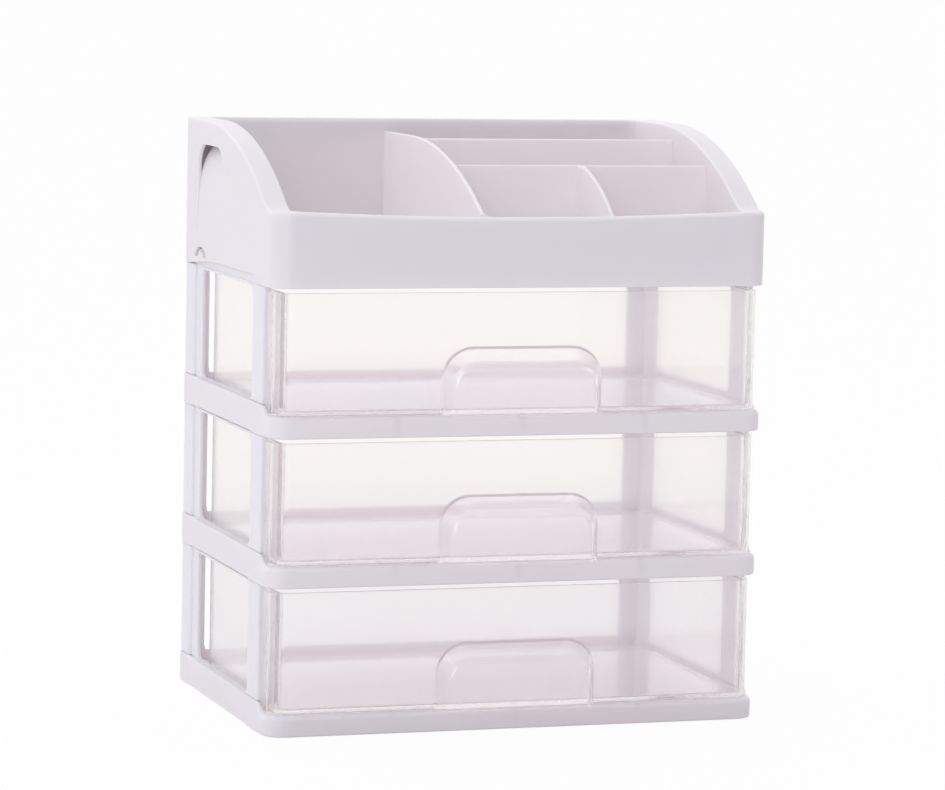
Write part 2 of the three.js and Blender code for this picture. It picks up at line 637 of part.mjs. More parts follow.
// Tray: a double-walled shell with five pockets, two hand grips and two snap latches.
function trayGeometry() {
  let tray = trayBody();
  const inside = roundedRectangle(POCKET_LEFT, POCKET_RIGHT, POCKET_FRONT, POCKET_BACK, POCKET_CORNER_RADIUS);
  const walled = roundedRectangle(
    POCKET_LEFT - TRAY_WALL, POCKET_RIGHT + TRAY_WALL, POCKET_FRONT - TRAY_WALL, BACK + CUT_OVERRUN,
    POCKET_CORNER_RADIUS + TRAY_WALL,
  );
  const lowered = [
    new THREE.Vector2(FRONT, -CUT_OVERRUN),
    new THREE.Vector2(BACK, -CUT_OVERRUN),
    ...trayProfile(TRAY_FRONT_MID_HEIGHT, TRAY_RIM_THICKNESS).slice(2),
  ];
  let hollow = prism(stackPlan(TRAY_SKIN), -CUT_OVERRUN, TRAY_HEIGHT);
  hollow = hollow.subtract(prism(walled, TRAY_FLOOR_RISE, TRAY_HEIGHT + CUT_OVERRUN));
  hollow = hollow.intersect(prism(lowered, -HALF_WIDTH, HALF_WIDTH, IN_SIDE_VIEW));
  tray = tray.subtract(hollow);

  const rearFront = FRONT + REAR_PARTITION_SETBACK;
  const middleFront = FRONT + MIDDLE_PARTITION_SETBACK;
  const smallDivider = (DIVIDER_RIGHT + POCKET_RIGHT) / 2;
  const pockets = [
    [POCKET_LEFT, DIVIDER_LEFT, POCKET_FRONT, POCKET_BACK],
    [DIVIDER_RIGHT, POCKET_RIGHT, rearFront + PARTITION_THICKNESS, POCKET_BACK],
    [DIVIDER_RIGHT, POCKET_RIGHT, middleFront + PARTITION_THICKNESS, rearFront],
    [DIVIDER_RIGHT, smallDivider - PARTITION_THICKNESS / 2, POCKET_FRONT, middleFront],
    [smallDivider + PARTITION_THICKNESS / 2, POCKET_RIGHT, POCKET_FRONT, middleFront],
  ];
  for (const [left, right, front, back] of pockets) {
    tray = tray.subtract(pocket(left, right, front, back, POCKET_FLOOR));
  }
  const large = aboveDivider(DIVIDER_DROP, DIVIDER_SHOULDER, DIVIDER_CURVE_RADIUS);
  const small = aboveDivider(SMALL_DIVIDER_DROP, SMALL_DIVIDER_SHOULDER, SMALL_DIVIDER_CURVE_RADIUS);
  const overInside = prism(inside, 0, TRAY_HEIGHT + CUT_OVERRUN);
  const overFront = [DIVIDER_RIGHT, POCKET_RIGHT, POCKET_FRONT, middleFront];
  const frontPockets = pocket(...overFront, POCKET_FLOOR);
  tray = tray.subtract(prism(large, POCKET_LEFT, POCKET_RIGHT, IN_SIDE_VIEW).intersect(overInside));
  tray = tray.subtract(prism(small, DIVIDER_RIGHT, POCKET_RIGHT, IN_SIDE_VIEW).intersect(frontPockets));
  tray = tray.subtract(pocket(...overFront, MIDDLE_PARTITION_HEIGHT));
  const partitions = [[rearFront, REAR_PARTITION_HEIGHT], [middleFront, MIDDLE_PARTITION_HEIGHT]];
  for (const [front, height] of partitions) {
    tray = tray.subtract(block(
      new THREE.Vector3(DIVIDER_RIGHT, front - CUT_OVERRUN, height),
      new THREE.Vector3(POCKET_RIGHT, front + PARTITION_THICKNESS + CUT_OVERRUN, TRAY_HEIGHT + CUT_OVERRUN),
    ));
  }

  for (const side of [-1, 1]) {
    for (const rib of seatRibs(side)) tray = tray.add(rib);
    tray = tray.add(gripSpace(side, TRAY_SKIN)).subtract(gripSpace(side, 0));
    const low = side > 0 ? HALF_WIDTH - TRAY_SKIN - CUT_OVERRUN : -HALF_WIDTH - CUT_OVERRUN;
    const high = low + TRAY_SKIN + 2 * CUT_OVERRUN;
    tray = tray.subtract(prism(sideRelief(), low, high, IN_SIDE_VIEW));
    tray = tray.subtract(latchSlot(side));
    const nibBottom = LATCH_SLOT_BOTTOM + LATCH_NIB_RISE;
    tray = tray.add(sideBlock(
      side, HALF_WIDTH - TRAY_SKIN - LATCH_NIB_REACH, HALF_WIDTH - TRAY_SKIN / 2,
      LATCH_MIDDLE - LATCH_NIB_WIDTH / 2, LATCH_MIDDLE + LATCH_NIB_WIDTH / 2,
      nibBottom, nibBottom + LATCH_NIB_HEIGHT,
    ));
  }
  return geometryOf(tray);
}

function piece(name, geometry, material) {
  const mesh = new THREE.Mesh(geometry, material);
  mesh.name = name;
  return mesh;
}

const organizer = new THREE.Group();
organizer.name = 'makeup_organizer';

const padGeometry = new THREE.CylinderGeometry(PAD_RADIUS, PAD_RADIUS, PAD_THICKNESS, PAD_SIDES);
padGeometry.rotateX(Math.PI / 2);
const PAD_NAMES = ['front_left', 'front_right', 'rear_left', 'rear_right'];
padPlaces().forEach(([x, y], i) => {
  const pad = piece(`foot_pad_${PAD_NAMES[i]}`, padGeometry, PAD);
  pad.position.set(x, y, PAD_THICKNESS / 2);
  organizer.add(pad);
});

const shelf = shelfGeometry();
const leftFrame = sideFrameGeometry(-1);
const rightFrame = sideFrameGeometry(1);
const drawer = drawerGeometry();
TIER_NAMES.forEach((tierName, i) => {
  const tier = new THREE.Group();
  tier.position.z = PAD_PROUD + i * TIER_PITCH;
  tier.add(piece(`shelf_${tierName}`, shelf, WHITE));
  tier.add(piece(`side_frame_left_${tierName}`, leftFrame, WHITE));
  tier.add(piece(`side_frame_right_${tierName}`, rightFrame, WHITE));
  tier.add(piece(`drawer_${tierName}`, drawer, CLEAR));
  organizer.add(tier);
});

const tray = piece('top_tray', trayGeometry(), WHITE);
tray.position.z = TRAY_BASE;
organizer.add(tray);

export default organizer;
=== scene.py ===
"""Looks of a desktop makeup organizer: an open tray over three tiers of clear drawers.

Every length is in metres, X to the right, Y to the back, Z up, in the frame of the CAD part.
"""

import math

import bmesh
import bpy
import numpy as np
from bpy.props import FloatProperty, FloatVectorProperty, PointerProperty, StringProperty
from mathutils import Matrix, Vector, geometry


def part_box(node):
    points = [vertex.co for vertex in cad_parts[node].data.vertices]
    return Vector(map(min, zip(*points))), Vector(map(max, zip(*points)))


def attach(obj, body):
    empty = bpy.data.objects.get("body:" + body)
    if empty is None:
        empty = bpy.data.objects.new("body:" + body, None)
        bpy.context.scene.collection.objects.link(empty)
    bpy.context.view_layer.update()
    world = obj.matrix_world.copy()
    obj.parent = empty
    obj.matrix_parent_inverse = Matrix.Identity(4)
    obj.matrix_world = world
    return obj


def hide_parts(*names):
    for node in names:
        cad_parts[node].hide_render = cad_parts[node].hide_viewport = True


bl_info = {
    "name": "Makeup Organizer",
    "version": (1, 0, 0),
    "blender": (4, 5, 0),
    "location": "3D View > Sidebar > Organizer",
    "description": "Moulded tray, shelves and frames with clear drawers, in a plain pale studio",
    "category": "Add Mesh",
}

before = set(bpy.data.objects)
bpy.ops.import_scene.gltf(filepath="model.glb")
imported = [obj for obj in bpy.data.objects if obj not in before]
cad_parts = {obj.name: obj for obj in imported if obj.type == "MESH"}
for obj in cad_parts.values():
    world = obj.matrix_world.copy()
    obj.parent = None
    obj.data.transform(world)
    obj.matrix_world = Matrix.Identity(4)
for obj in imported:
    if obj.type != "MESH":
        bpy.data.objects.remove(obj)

MM = 0.001
TIERS = ("bottom", "middle", "top")
SIDES = (("left", -1), ("right", 1))
WELD = 0.002 * MM
PICTURE_WIDTH = 945

SHELF_LOW, SHELF_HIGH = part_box("shelf_bottom")
TRAY_LOW, TRAY_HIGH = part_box("top_tray")
DRAWER_LOW, DRAWER_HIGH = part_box("drawer_bottom")
TIER_BASES = tuple(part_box(f"shelf_{tier}")[0].z for tier in TIERS)
TIER_PITCH = TIER_BASES[1] - TIER_BASES[0]


def length(name, description, value):
    """A length that a user may change, in metres."""
    return FloatProperty(
        name=name, description=description, default=value, unit="LENGTH", precision=5, min=0.0
    )


def location(name, description, value):
    """A place that a user may move, in metres."""
    return FloatVectorProperty(
        name=name, description=description, default=value, subtype="TRANSLATION", unit="LENGTH", precision=5
    )


def watts(name, description, value):
    """The power of a lamp, in watts."""
    return FloatProperty(name=name, description=description, default=value, unit="POWER", min=0.0)


def swatch(name, description, value):
    """A colour that a user may change, as an sRGB hex value."""
    return StringProperty(name=name, description=description, default=value)


class OrganizerStack(bpy.types.PropertyGroup):
    """Sizes of the shelves and of the side frames between them"""

    front_corner: length("Front corner", "Radius of the front corners in plan", 11.5 * MM)
    rear_corner: length("Rear corner", "Radius of the rear corners in plan", 3.0 * MM)
    wall: length("Wall", "Thickness of the shelf's skirt and rim", 2.1 * MM)
    deck: length("Deck", "Thickness of the shelf's deck", 2.2 * MM)
    lip: length("Lip", "Height of the lip under the drawer's front", 12.0 * MM)
    rim: length("Rim", "Height of the rim at the sides and back", 17.3 * MM)
    lip_round: length("Lip rounding", "Radius of the lip's upper edge", 3.0 * MM)
    rim_round: length("Rim rounding", "Radius of the rim's outer edge", 1.2 * MM)
    foot_round: length("Lower rounding", "Radius of the shelf's lower edge", 1.5 * MM)
    slope_start: length("Slope start", "Distance behind the front where the rim starts to rise", 13.0 * MM)
    slope_run: length("Slope run", "Length over which the rim rises", 8.0 * MM)
    seam_round: length("Seam rounding", "Rounding of edges that meet a post or a shelf", 0.3 * MM)
    fit: length("Fit", "Gap between parts that plug into each other", 0.3 * MM)
    rib: length("Rib", "Thickness of the ribs under the deck", 1.6 * MM)
    panel: length("Panel", "Thickness of the side frame's panel", 2.2 * MM)
    panel_edge: length("Panel edge", "Rounding of the side frame's edges", 0.5 * MM)
    post_inset: length("Post inset", "How far the posts stand behind the shelf's face", 0.5 * MM)
    post_wall: length("Post wall", "Thickness of the posts' outer walls", 2.2 * MM)
    post_edge: length("Post edge", "Rounding of the posts' upright edges", 1.2 * MM)
    rear_post: length("Rear post", "Width of the rear post at the side", 18.7 * MM)
    window_front: length("Window front", "Distance from the stack's front to the window", 42.0 * MM)
    window_back: length("Window back", "Distance from the stack's back to the window", 31.6 * MM)
    window_sill: length("Window sill", "Height of the window's lower edge above the rim", 0.8 * MM)
    window_head: length("Window head", "Distance from the window's upper edge to the next shelf", 1.5 * MM)
    window_corner: length("Window corner", "Radius of the window's corners", 5.0 * MM)
    flange_tongue: length("Flange tongue", "How far the flange reaches into the next shelf", 1.7 * MM)
    rib_depth: length("Rib depth", "How far the stiffening ribs hang below the deck", 5.5 * MM)
    socket_depth: length("Socket depth", "How far the ribs beside the side frames hang below it", 7.3 * MM)
    guide: length("Guide", "Thickness of the drawer's guide ribs on the deck", 1.5 * MM)
    guide_rise: length("Guide rise", "Height of the guide ribs above the deck", 3.0 * MM)
    guide_gap: length("Guide gap", "Gap between the guide ribs and the side frame's foot", 0.5 * MM)
    pad_boss: length("Pad boss", "Radius of the round bosses that hold the foot pads", 9.1 * MM)
    catch_place: length("Catch place", "Distance from the back to the middle of catch and latch", 34.0 * MM)


class OrganizerDrawers(bpy.types.PropertyGroup):
    """Sizes of the clear drawers and their pulls"""

    wall: length("Wall", "Thickness of the drawer's walls", 2.0 * MM)
    floor: length("Floor", "Thickness of the drawer's floor", 2.2 * MM)
    floor_fillet: length("Floor fillet", "Radius between floor and walls inside", 1.5 * MM)
    front_corner: length("Front corner", "Outer radius of the front corners in plan", 11.5 * MM)
    inner_corner: length("Inner corner", "Radius of the front corners inside", 4.0 * MM)
    rear_corner: length("Rear corner", "Outer radius of the rear corners in plan", 10.0 * MM)
    side_inset: length("Side inset", "How far the drawer's sides stand behind its wings", 4.3 * MM)
    wing_end: length("Wing end", "Distance from the stack's front to the wings' ends", 20.2 * MM)
    slot: length("Slot", "Radius of the hollow between wing and box", 9.5 * MM)
    pull_width: length("Pull width", "Width of the arched pull at the drawer's front", 94.0 * MM)
    pull_rise: length("Pull rise", "Height of the pull", 37.7 * MM)
    pull_reach: length("Pull reach", "How far the pull stands in front of the drawer", 10.0 * MM)
    pull_corner: length("Pull corner", "Radius of the arch's corners", 18.0 * MM)
    pull_side_slope: length("Pull side slope", "How much the arch narrows on each side", 4.5 * MM)
    pull_top_slope: length("Pull top slope", "How much the arch falls towards its face", 9.5 * MM)
    pull_round: length("Pull rounding", "Radius of the pull's face edge", 1.8 * MM)


class OrganizerTray(bpy.types.PropertyGroup):
    """Sizes of the open tray"""

    skin: length("Skin", "Thickness of the outer skin", 2.1 * MM)
    wall: length("Wall", "Thickness of the compartments' walls and floor", 2.2 * MM)
    side_rim: length("Side rim", "Width of the rim at the sides", 13.0 * MM)
    front_rim: length("Front rim", "Width of the rim at the front", 6.5 * MM)
    back_rim: length("Back rim", "Width of the rim at the back", 3.0 * MM)
    outer_round: length("Outer rounding", "Radius of the side and back rims' outer edge", 1.2 * MM)
    front_round: length("Front rounding", "Radius of the front rim's outer edge", 2.2 * MM)
    inner_round: length("Inner rounding", "Radius of the rim's inner edge", 1.0 * MM)
    pocket_corner: length("Pocket corner", "Radius of the compartments' corners", 3.5 * MM)
    shoulder: length("Shoulder", "Length of the level rim at the back", 45.0 * MM)
    curve: length("Curve", "Radius of the falling side rims", 215.5 * MM)
    front_end: length("Front height at the sides", "Height of the front rim next to the sides", 42.0 * MM)
    front_middle: length("Front height in the middle", "Height of the front rim in the middle", 38.8 * MM)
    blend: length("Blend", "Length over which the side rims run into the front rim", 4.5 * MM)
    floor_rise: length("Floor", "Height of the compartments' floor above the lower edge", 4.5 * MM)
    relief: length("Relief", "Height of the sides' lower edge above the side frames' posts", 4.5 * MM)
    relief_front: length("Relief front", "Distance from the front to the relief", 37.5 * MM)
    relief_shoulder: length("Relief shoulder", "Distance from the back to the relief's level part", 89.0 * MM)
    relief_back: length("Relief back", "Distance from the back to the relief", 9.0 * MM)
    partition: length("Partition", "Thickness of the partitions", 2.4 * MM)
    left_pocket: length("Left compartment", "Width of the large compartment", 106.9 * MM)
    divider_drop: length("Divider drop", "How far the large divider stays below the rim", 7.5 * MM)
    divider_shoulder: length("Divider shoulder", "Length of its level part", 53.0 * MM)
    divider_curve: length("Divider curve", "Radius of its falling part", 252.0 * MM)
    small_drop: length("Small divider drop", "Drop of the small divider's arc", 17.2 * MM)
    small_shoulder: length("Small divider shoulder", "Distance from the back to its arc", 101.0 * MM)
    small_curve: length("Small divider curve", "Radius of its arc", 119.5 * MM)
    rear_place: length("Rear wall place", "Distance from the front to the rear wall", 122.0 * MM)
    rear_height: length("Rear wall", "Height of the wall across the rear", 76.0 * MM)
    middle_place: length("Middle wall place", "Distance from the front to the middle wall", 67.7 * MM)
    middle_height: length("Middle wall", "Height of the wall across the middle", 64.0 * MM)
    grip_front: length("Grip front", "Distance from the back to the grip's front edge", 82.0 * MM)
    grip_back: length("Grip back", "Distance from the back to the grip's rear edge", 27.0 * MM)
    grip_low: length("Grip foot", "Height of the grip's foot", 9.0 * MM)
    grip_high: length("Grip top", "Height of the grip's upper edge", 70.5 * MM)
    grip_corner: length("Grip corner", "Radius of the grip's upper corners", 14.0 * MM)
    grip_depth: length("Grip depth", "Depth of the scooped hand grips", 8.0 * MM)
    latch_width: length("Latch slot", "Width of the arched slot round the latch", 26.0 * MM)
    latch_rise: length("Latch slot rise", "Height of that slot's arch", 6.0 * MM)
    latch_low: length("Latch slot foot", "Height of that slot's foot", 5.0 * MM)
    tongue_width: length("Latch tongue", "Width of the latch's tongue", 11.0 * MM)
    tongue_rise: length("Latch tongue rise", "Height of the tongue's arch", 4.9 * MM)
    tongue_low: length("Latch tongue foot", "Height of the foot of that arch", 4.0 * MM)


class OrganizerFinishes(bpy.types.PropertyGroup):
    """Colours of the organizer's plastics, as sRGB hex values"""

    white: swatch("White", "Colour of the tray and the shelves", "#F6F2F2")
    white_streak: swatch("White streaks", "Colour of the flow streaks in it", "#F4EFEF")
    # The side frames' cooler white is painted cool light: the same plastic as the tray, tinted to stand in
    # for the cool light and haze on the frames.
    frame_white_painted_cool: swatch("Cool white", "Colour of the side frames", "#F2F3F4")
    frame_streak_painted_cool: swatch("Cool white streaks", "Colour of the flow streaks in it", "#F0F0F1")
    clear: swatch("Clear", "Tint of the clear moulded plastic", "#FFFEFF")
    pad: swatch("Pads", "Colour of the foam pads", "#D9D7D8")
    pad_cell: swatch("Pad cells", "Colour of the foam between its cells", "#C6C4C5")
    floor: swatch("Floor", "Colour of the studio floor", "#ECEAEC")


class OrganizerStudio(bpy.types.PropertyGroup):
    """Camera and lamps"""

    focal: FloatProperty(
        name="Focal length", description="In pixels of a picture as wide as PICTURE_WIDTH",
        default=4174.43, min=1.0,
    )
    eye: location("Camera place", "Where the camera stands", (-0.76118, -2.26291, 0.44344))
    aim: location("Camera aim", "What the middle of the picture shows", (0.00101, 0.0, 0.17866))
    roll: FloatProperty(
        name="Camera roll", description="How far the camera is turned about its line of sight",
        default=math.radians(1.2785), subtype="ANGLE", precision=5,
    )
    lamp_aim: location("Lamp aim", "What the lamps face", (0.0, 0.0, 0.18))
    key_place: location("Key lamp place", "Left of the object and above it", (-1.3, -0.9, 1.1))
    top_place: location("Top lamp place", "Overhead", (0.2, -0.2, 1.6))
    front_place: location("Front lamp place", "Beside the camera", (-1.0, -2.8, 0.75))
    lamp_size: length("Lamp size", "Side of each square lamp", 1.2)
    floor_reach: length("Floor reach", "Half the width of the studio floor", 40.0)
    key: watts("Key lamp", "Power of the lamp on the left", 2.8)
    top: watts("Top lamp", "Power of the lamp overhead", 2.0)
    front: watts("Front lamp", "Power of the lamp beside the camera", 13.0)
    ambient: FloatProperty(
        name="Ambient", description="Strength of the light from all round", default=0.68, min=0.0
    )
    lean: FloatVectorProperty(
        name="Lean", description="Light added from the left, the back and above, and taken from opposite",
        default=(-0.10, 0.60, 0.27), precision=3,
    )


# Surfaces


def arc(across, along, radius, start, end, steps):
    """Points on a circle: its centre plus the radius times the cosine and sine of equal steps of angle."""
    angle = np.radians(np.linspace(start, end, steps + 1))
    return np.stack([across + radius * np.cos(angle), along + radius * np.sin(angle)], 1)


def rounded_loop(left, right, low, high, low_radius, high_radius, corner_steps, side_steps, end_steps):
    """A rectangle with rounded corners as a loop of points and their outward normals.

    Each corner is a quarter circle of corner_steps, and each straight stretch is cut into equal
    steps, so that two such loops match point by point. Starts at the low left corner and runs
    anticlockwise.
    """
    corners = (
        (left + low_radius, low + low_radius, low_radius, 180, end_steps),
        (right - low_radius, low + low_radius, low_radius, 270, side_steps),
        (right - high_radius, high - high_radius, high_radius, 0, end_steps),
        (left + high_radius, high - high_radius, high_radius, 90, side_steps),
    )
    points, normals = [], []
    for i, (x, y, radius, start, steps) in enumerate(corners):
        turn = arc(x, y, radius, start, start + 90, corner_steps)
        way = arc(0, 0, 1, start, start + 90, corner_steps)
        after = corners[(i + 1) % 4]
        goal = arc(after[0], after[1], after[2], after[3], after[3] + 90, 1)[0]
        share = (np.arange(1, steps) / steps)[:, None]
        points += [turn, turn[-1] + (goal - turn[-1]) * share]
        normals += [way, np.repeat(way[-1:], steps - 1, 0)]
    return np.vstack(points), np.vstack(normals)


def mitred(points):
    """A closed anticlockwise outline with outward directions that keep its edges parallel when inset.

    Each direction is the sum of the two edges' unit normals over one plus their product.
    """
    edge = np.roll(points, -1, 0) - points
    edge = edge / np.linalg.norm(edge, axis=1)[:, None]
    after = np.stack([edge[:, 1], -edge[:, 0]], 1)
    before = np.roll(after, 1, 0)
    return points, (before + after) / (1 + (before * after).sum(1))[:, None]


def inset(loop, distance):
    """Moves each point of a loop inwards along its normal by a distance, one for all or one for each."""
    points, normals = loop
    return points - normals * np.reshape(distance, (-1, 1))


def rounding(radius, steps, falling=False):
    """Shares of a quarter-round edge: how far in and how far down from the edge, step by step."""
    angle = np.linspace(0, np.pi / 2, steps + 1)
    pairs = np.stack([radius * (1 - np.cos(angle)), radius * (1 - np.sin(angle))], 1)
    return pairs[::-1] if falling else pairs


def smooth_step(value, low, high):
    """Rises from 0 to 1 between two values, level at both ends: 3t squared less 2t cubed."""
    share = np.clip((value - low) / (high - low), 0, 1)
    return share * share * (3 - 2 * share)


def smooth_high(first, second, blend):
    """The higher of two heights, rounded over a blend length where they cross."""
    share = np.clip(0.5 + (first - second) / (2 * blend), 0, 1)
    return second + (first - second) * share + blend * share * (1 - share)


class Shell:
    """Collects rings and plates of points as one mesh of quads and flat caps."""

    def __init__(self):
        self.points = []
        self.faces = []
        self.count = 0

    def add(self, points):
        """Stores points and gives the number of the first one."""
        start = self.count
        self.points.append(points)
        self.count += len(points)
        return start

    def rings(self, levels, wrap=False):
        """Quads between rings of equal point count, each ring closed; wrap joins the last to the first."""
        levels = np.asarray(levels)
        rows, size = levels.shape[:2]
        start = self.add(levels.reshape(-1, 3))
        row = np.arange(rows if wrap else rows - 1)[:, None]
        column = np.arange(size)[None]
        beside = (column + 1) % size
        above = (row + 1) % rows
        quads = np.stack(
            [row * size + column, row * size + beside, above * size + beside, above * size + column], -1
        )
        self.faces += (quads.reshape(-1, 4) + start).tolist()
        return [np.arange(size) + start + k * size for k in range(rows)]

    def cap(self, ring):
        """One flat face across a ring."""
        self.faces.append(ring.tolist())

    def cap_between(self, *rings):
        """Flat triangles between an outer ring and the rings within it."""
        everything = np.vstack(self.points)
        index = np.concatenate(rings)
        outlines = [[Vector(point) for point in everything[ring]] for ring in rings]
        self.faces += [[int(index[i]) for i in corners] for corners in geometry.tessellate_polygon(outlines)]


def heights(loop, height):
    """A plan loop lifted to a height, one for all or one for each point."""
    return np.column_stack([loop, np.broadcast_to(height, len(loop))])


def box_shell(shell, low, high):
    """A closed block with small rounded upright edges and its other edges cut back, to catch light."""
    edge = 0.3 * MM
    cut = edge * 0.6
    (left, front, bottom), (right, back, top) = low, high
    loop = rounded_loop(left, right, front, back, edge, edge, 2, 1, 1)
    rings = shell.rings([
        heights(inset(loop, cut), bottom), heights(inset(loop, 0), bottom + cut),
        heights(inset(loop, 0), top - cut), heights(inset(loop, cut), top),
    ])
    shell.cap(rings[0])
    shell.cap(rings[-1])


def new_piece(name, shell, lift=0.0, side=1):
    """Puts a shell into a mesh, welds equal points and turns every face outwards.

    lift raises it, and a side of -1 gives its mirror image on the left.
    """
    mesh = bpy.data.meshes.new(name)
    points = np.vstack(shell.points) * (side, 1, 1) + np.array([0, 0, lift])
    mesh.from_pydata(points.tolist(), [], shell.faces)
    work = bmesh.new()
    work.from_mesh(mesh)
    bmesh.ops.remove_doubles(work, verts=work.verts, dist=WELD)
    bmesh.ops.dissolve_degenerate(work, edges=work.edges, dist=WELD)
    bmesh.ops.recalc_face_normals(work, faces=work.faces)
    work.to_mesh(mesh)
    work.free()
    piece = bpy.data.objects.new(name, mesh)
    bpy.context.scene.collection.objects.link(piece)
    return piece


def carve(piece, tool, operation):
    """Joins or cuts a closed tool into a piece for good and removes the tool."""
    change = piece.modifiers.new("Carve", "BOOLEAN")
    change.object = tool
    change.operation = operation
    change.solver = "EXACT"
    with bpy.context.temp_override(object=piece, active_object=piece):
        bpy.ops.object.modifier_apply(modifier=change.name)
    bpy.data.objects.remove(tool)


def soften(piece, angle=32):
    """Smooth shading that keeps real edges and weighs each face by its area."""
    work = bmesh.new()
    work.from_mesh(piece.data)
    bmesh.ops.remove_doubles(work, verts=work.verts, dist=WELD)
    bmesh.ops.recalc_face_normals(work, faces=work.faces)
    limit = math.radians(angle)
    for face in work.faces:
        face.smooth = True
    for edge in work.edges:
        edge.smooth = len(edge.link_faces) == 2 and edge.calc_face_angle(0) < limit
    work.to_mesh(piece.data)
    work.free()
    weighted = piece.modifiers.new("Weighted normals", "WEIGHTED_NORMAL")
    weighted.keep_sharp = True


def dress(piece, material, body, slot, *nodes):
    """Gives a finished piece its material and body, in place of its CAD nodes; the record slot is not used.
    """
    piece.data.materials.clear()
    piece.data.materials.append(material)
    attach(piece, body)
    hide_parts(*nodes)


# Materials


def linear(hex_colour):
    """An sRGB hex colour as linear red, green, blue and a full alpha."""
    values = np.array([int(hex_colour[i:i + 2], 16) for i in (1, 3, 5)]) / 255
    channels = np.where(values <= 0.04045, values / 12.92, ((values + 0.055) / 1.055) ** 2.4)
    return (*channels.tolist(), 1.0)


def add_node(tree, kind, inputs=None, **settings):
    """Adds a node, sets its settings, and links or sets each input that is named."""
    node = tree.nodes.new(kind)
    for name, value in settings.items():
        setattr(node, name, value)
    for name, value in (inputs or {}).items():
        if isinstance(value, bpy.types.NodeSocket):
            tree.links.new(value, node.inputs[name])
        else:
            node.inputs[name].default_value = value
    return node


def new_material(name):
    """An empty node material and its tree."""
    material = bpy.data.materials.new(name)
    material.use_nodes = True
    material.node_tree.nodes.clear()
    return material, material.node_tree


def moulded_polypropylene(name, colour, streak):
    """White polypropylene, injection moulded in a fine spark-eroded tool, with faint streaks of flow.

    It gives the eye a soft satin white: the plastic lets a little light in, so hollows stay
    light, and the fine tool grain breaks the gloss. The grain is about 0.1 mm on the real
    thing and is drawn 0.9 mm wide and very shallow, so that it shows at all.
    """
    material, tree = new_material(name)
    place = add_node(tree, "ShaderNodeTexCoord")
    flow = add_node(tree, "ShaderNodeTexNoise", {
        "Vector": place.outputs["Object"], "Scale": 1 / (60 * MM), "Detail": 2.0, "Roughness": 0.5,
    })
    tint = add_node(tree, "ShaderNodeMix", {
        "Factor": flow.outputs["Fac"], "A": linear(colour), "B": linear(streak),
    }, data_type="RGBA")
    grain = add_node(tree, "ShaderNodeTexNoise", {
        "Vector": place.outputs["Object"], "Scale": 1 / (0.9 * MM), "Detail": 3.0, "Roughness": 0.6,
    })
    sheen = add_node(tree, "ShaderNodeMapRange", {
        "Value": grain.outputs["Fac"], "From Min": 0.3, "From Max": 0.7, "To Min": 0.34, "To Max": 0.44,
    })
    relief = add_node(tree, "ShaderNodeBump", {
        "Height": grain.outputs["Fac"], "Strength": 0.06, "Distance": 0.05 * MM,
    })
    plastic = add_node(tree, "ShaderNodeBsdfPrincipled", {
        "Base Color": tint.outputs["Result"], "Roughness": sheen.outputs["Result"], "IOR": 1.49,
        "Normal": relief.outputs["Normal"], "Subsurface Weight": 0.5, "Subsurface Radius": (1.0, 1.0, 1.0),
        "Subsurface Scale": 3.0 * MM,
    })
    add_node(tree, "ShaderNodeOutputMaterial", {"Surface": plastic.outputs["BSDF"]})
    return material


def clear_polystyrene(name, colour):
    """Clear polystyrene, injection moulded in a polished tool.

    It gives the eye bright, see-through walls with soft edge lines and a milky haze, made of
    specks far too small to see that scatter the light. The haze thickens and thins in slow
    flow marks, and grows where a wall is seen at a glancing angle, through more plastic.
    Lamps reach what is behind it, and light caught inside a wall gets out after some turns.
    """
    material, tree = new_material(name)
    place = add_node(tree, "ShaderNodeTexCoord")
    flow = add_node(tree, "ShaderNodeTexNoise", {
        "Vector": place.outputs["Object"], "Scale": 1 / (45 * MM), "Detail": 2.0, "Roughness": 0.5,
    })
    specks = add_node(tree, "ShaderNodeTexNoise", {
        "Vector": place.outputs["Object"], "Scale": 1 / (0.08 * MM), "Detail": 0.0,
    })
    glance = add_node(tree, "ShaderNodeLayerWeight", {"Blend": 0.5})
    deeper = add_node(tree, "ShaderNodeMath", {
        0: glance.outputs["Facing"], 1: 0.03, 2: specks.outputs["Fac"],
    }, operation="MULTIPLY_ADD")
    milky = add_node(tree, "ShaderNodeMath", {
        0: flow.outputs["Fac"], 1: 0.06, 2: deeper.outputs["Value"],
    }, operation="MULTIPLY_ADD")
    haze = add_node(tree, "ShaderNodeMapRange", {
        "Value": milky.outputs["Value"], "From Min": 0.66, "From Max": 0.72, "To Min": 0.06, "To Max": 0.4,
    })
    plastic = add_node(tree, "ShaderNodeBsdfPrincipled", {
        "Base Color": linear(colour), "Roughness": haze.outputs["Result"], "IOR": 1.5,
        "Transmission Weight": 0.985,
    })
    through = add_node(tree, "ShaderNodeBsdfTransparent", {"Color": linear("#FFFEFE")})
    rays = add_node(tree, "ShaderNodeLightPath")
    unbent = add_node(tree, "ShaderNodeMath", {
        0: rays.outputs["Is Shadow Ray"], 1: rays.outputs["Is Diffuse Ray"],
    }, operation="MAXIMUM")
    caught = add_node(tree, "ShaderNodeMath", {
        0: rays.outputs["Ray Depth"], 1: 5.5,
    }, operation="GREATER_THAN")
    straight = add_node(tree, "ShaderNodeMath", {
        0: unbent.outputs["Value"], 1: caught.outputs["Value"],
    }, operation="MAXIMUM")
    lamps = add_node(tree, "ShaderNodeMixShader", {
        0: straight.outputs["Value"], 1: plastic.outputs["BSDF"], 2: through.outputs["BSDF"],
    })
    add_node(tree, "ShaderNodeOutputMaterial", {"Surface": lamps.outputs["Shader"]})
    return material


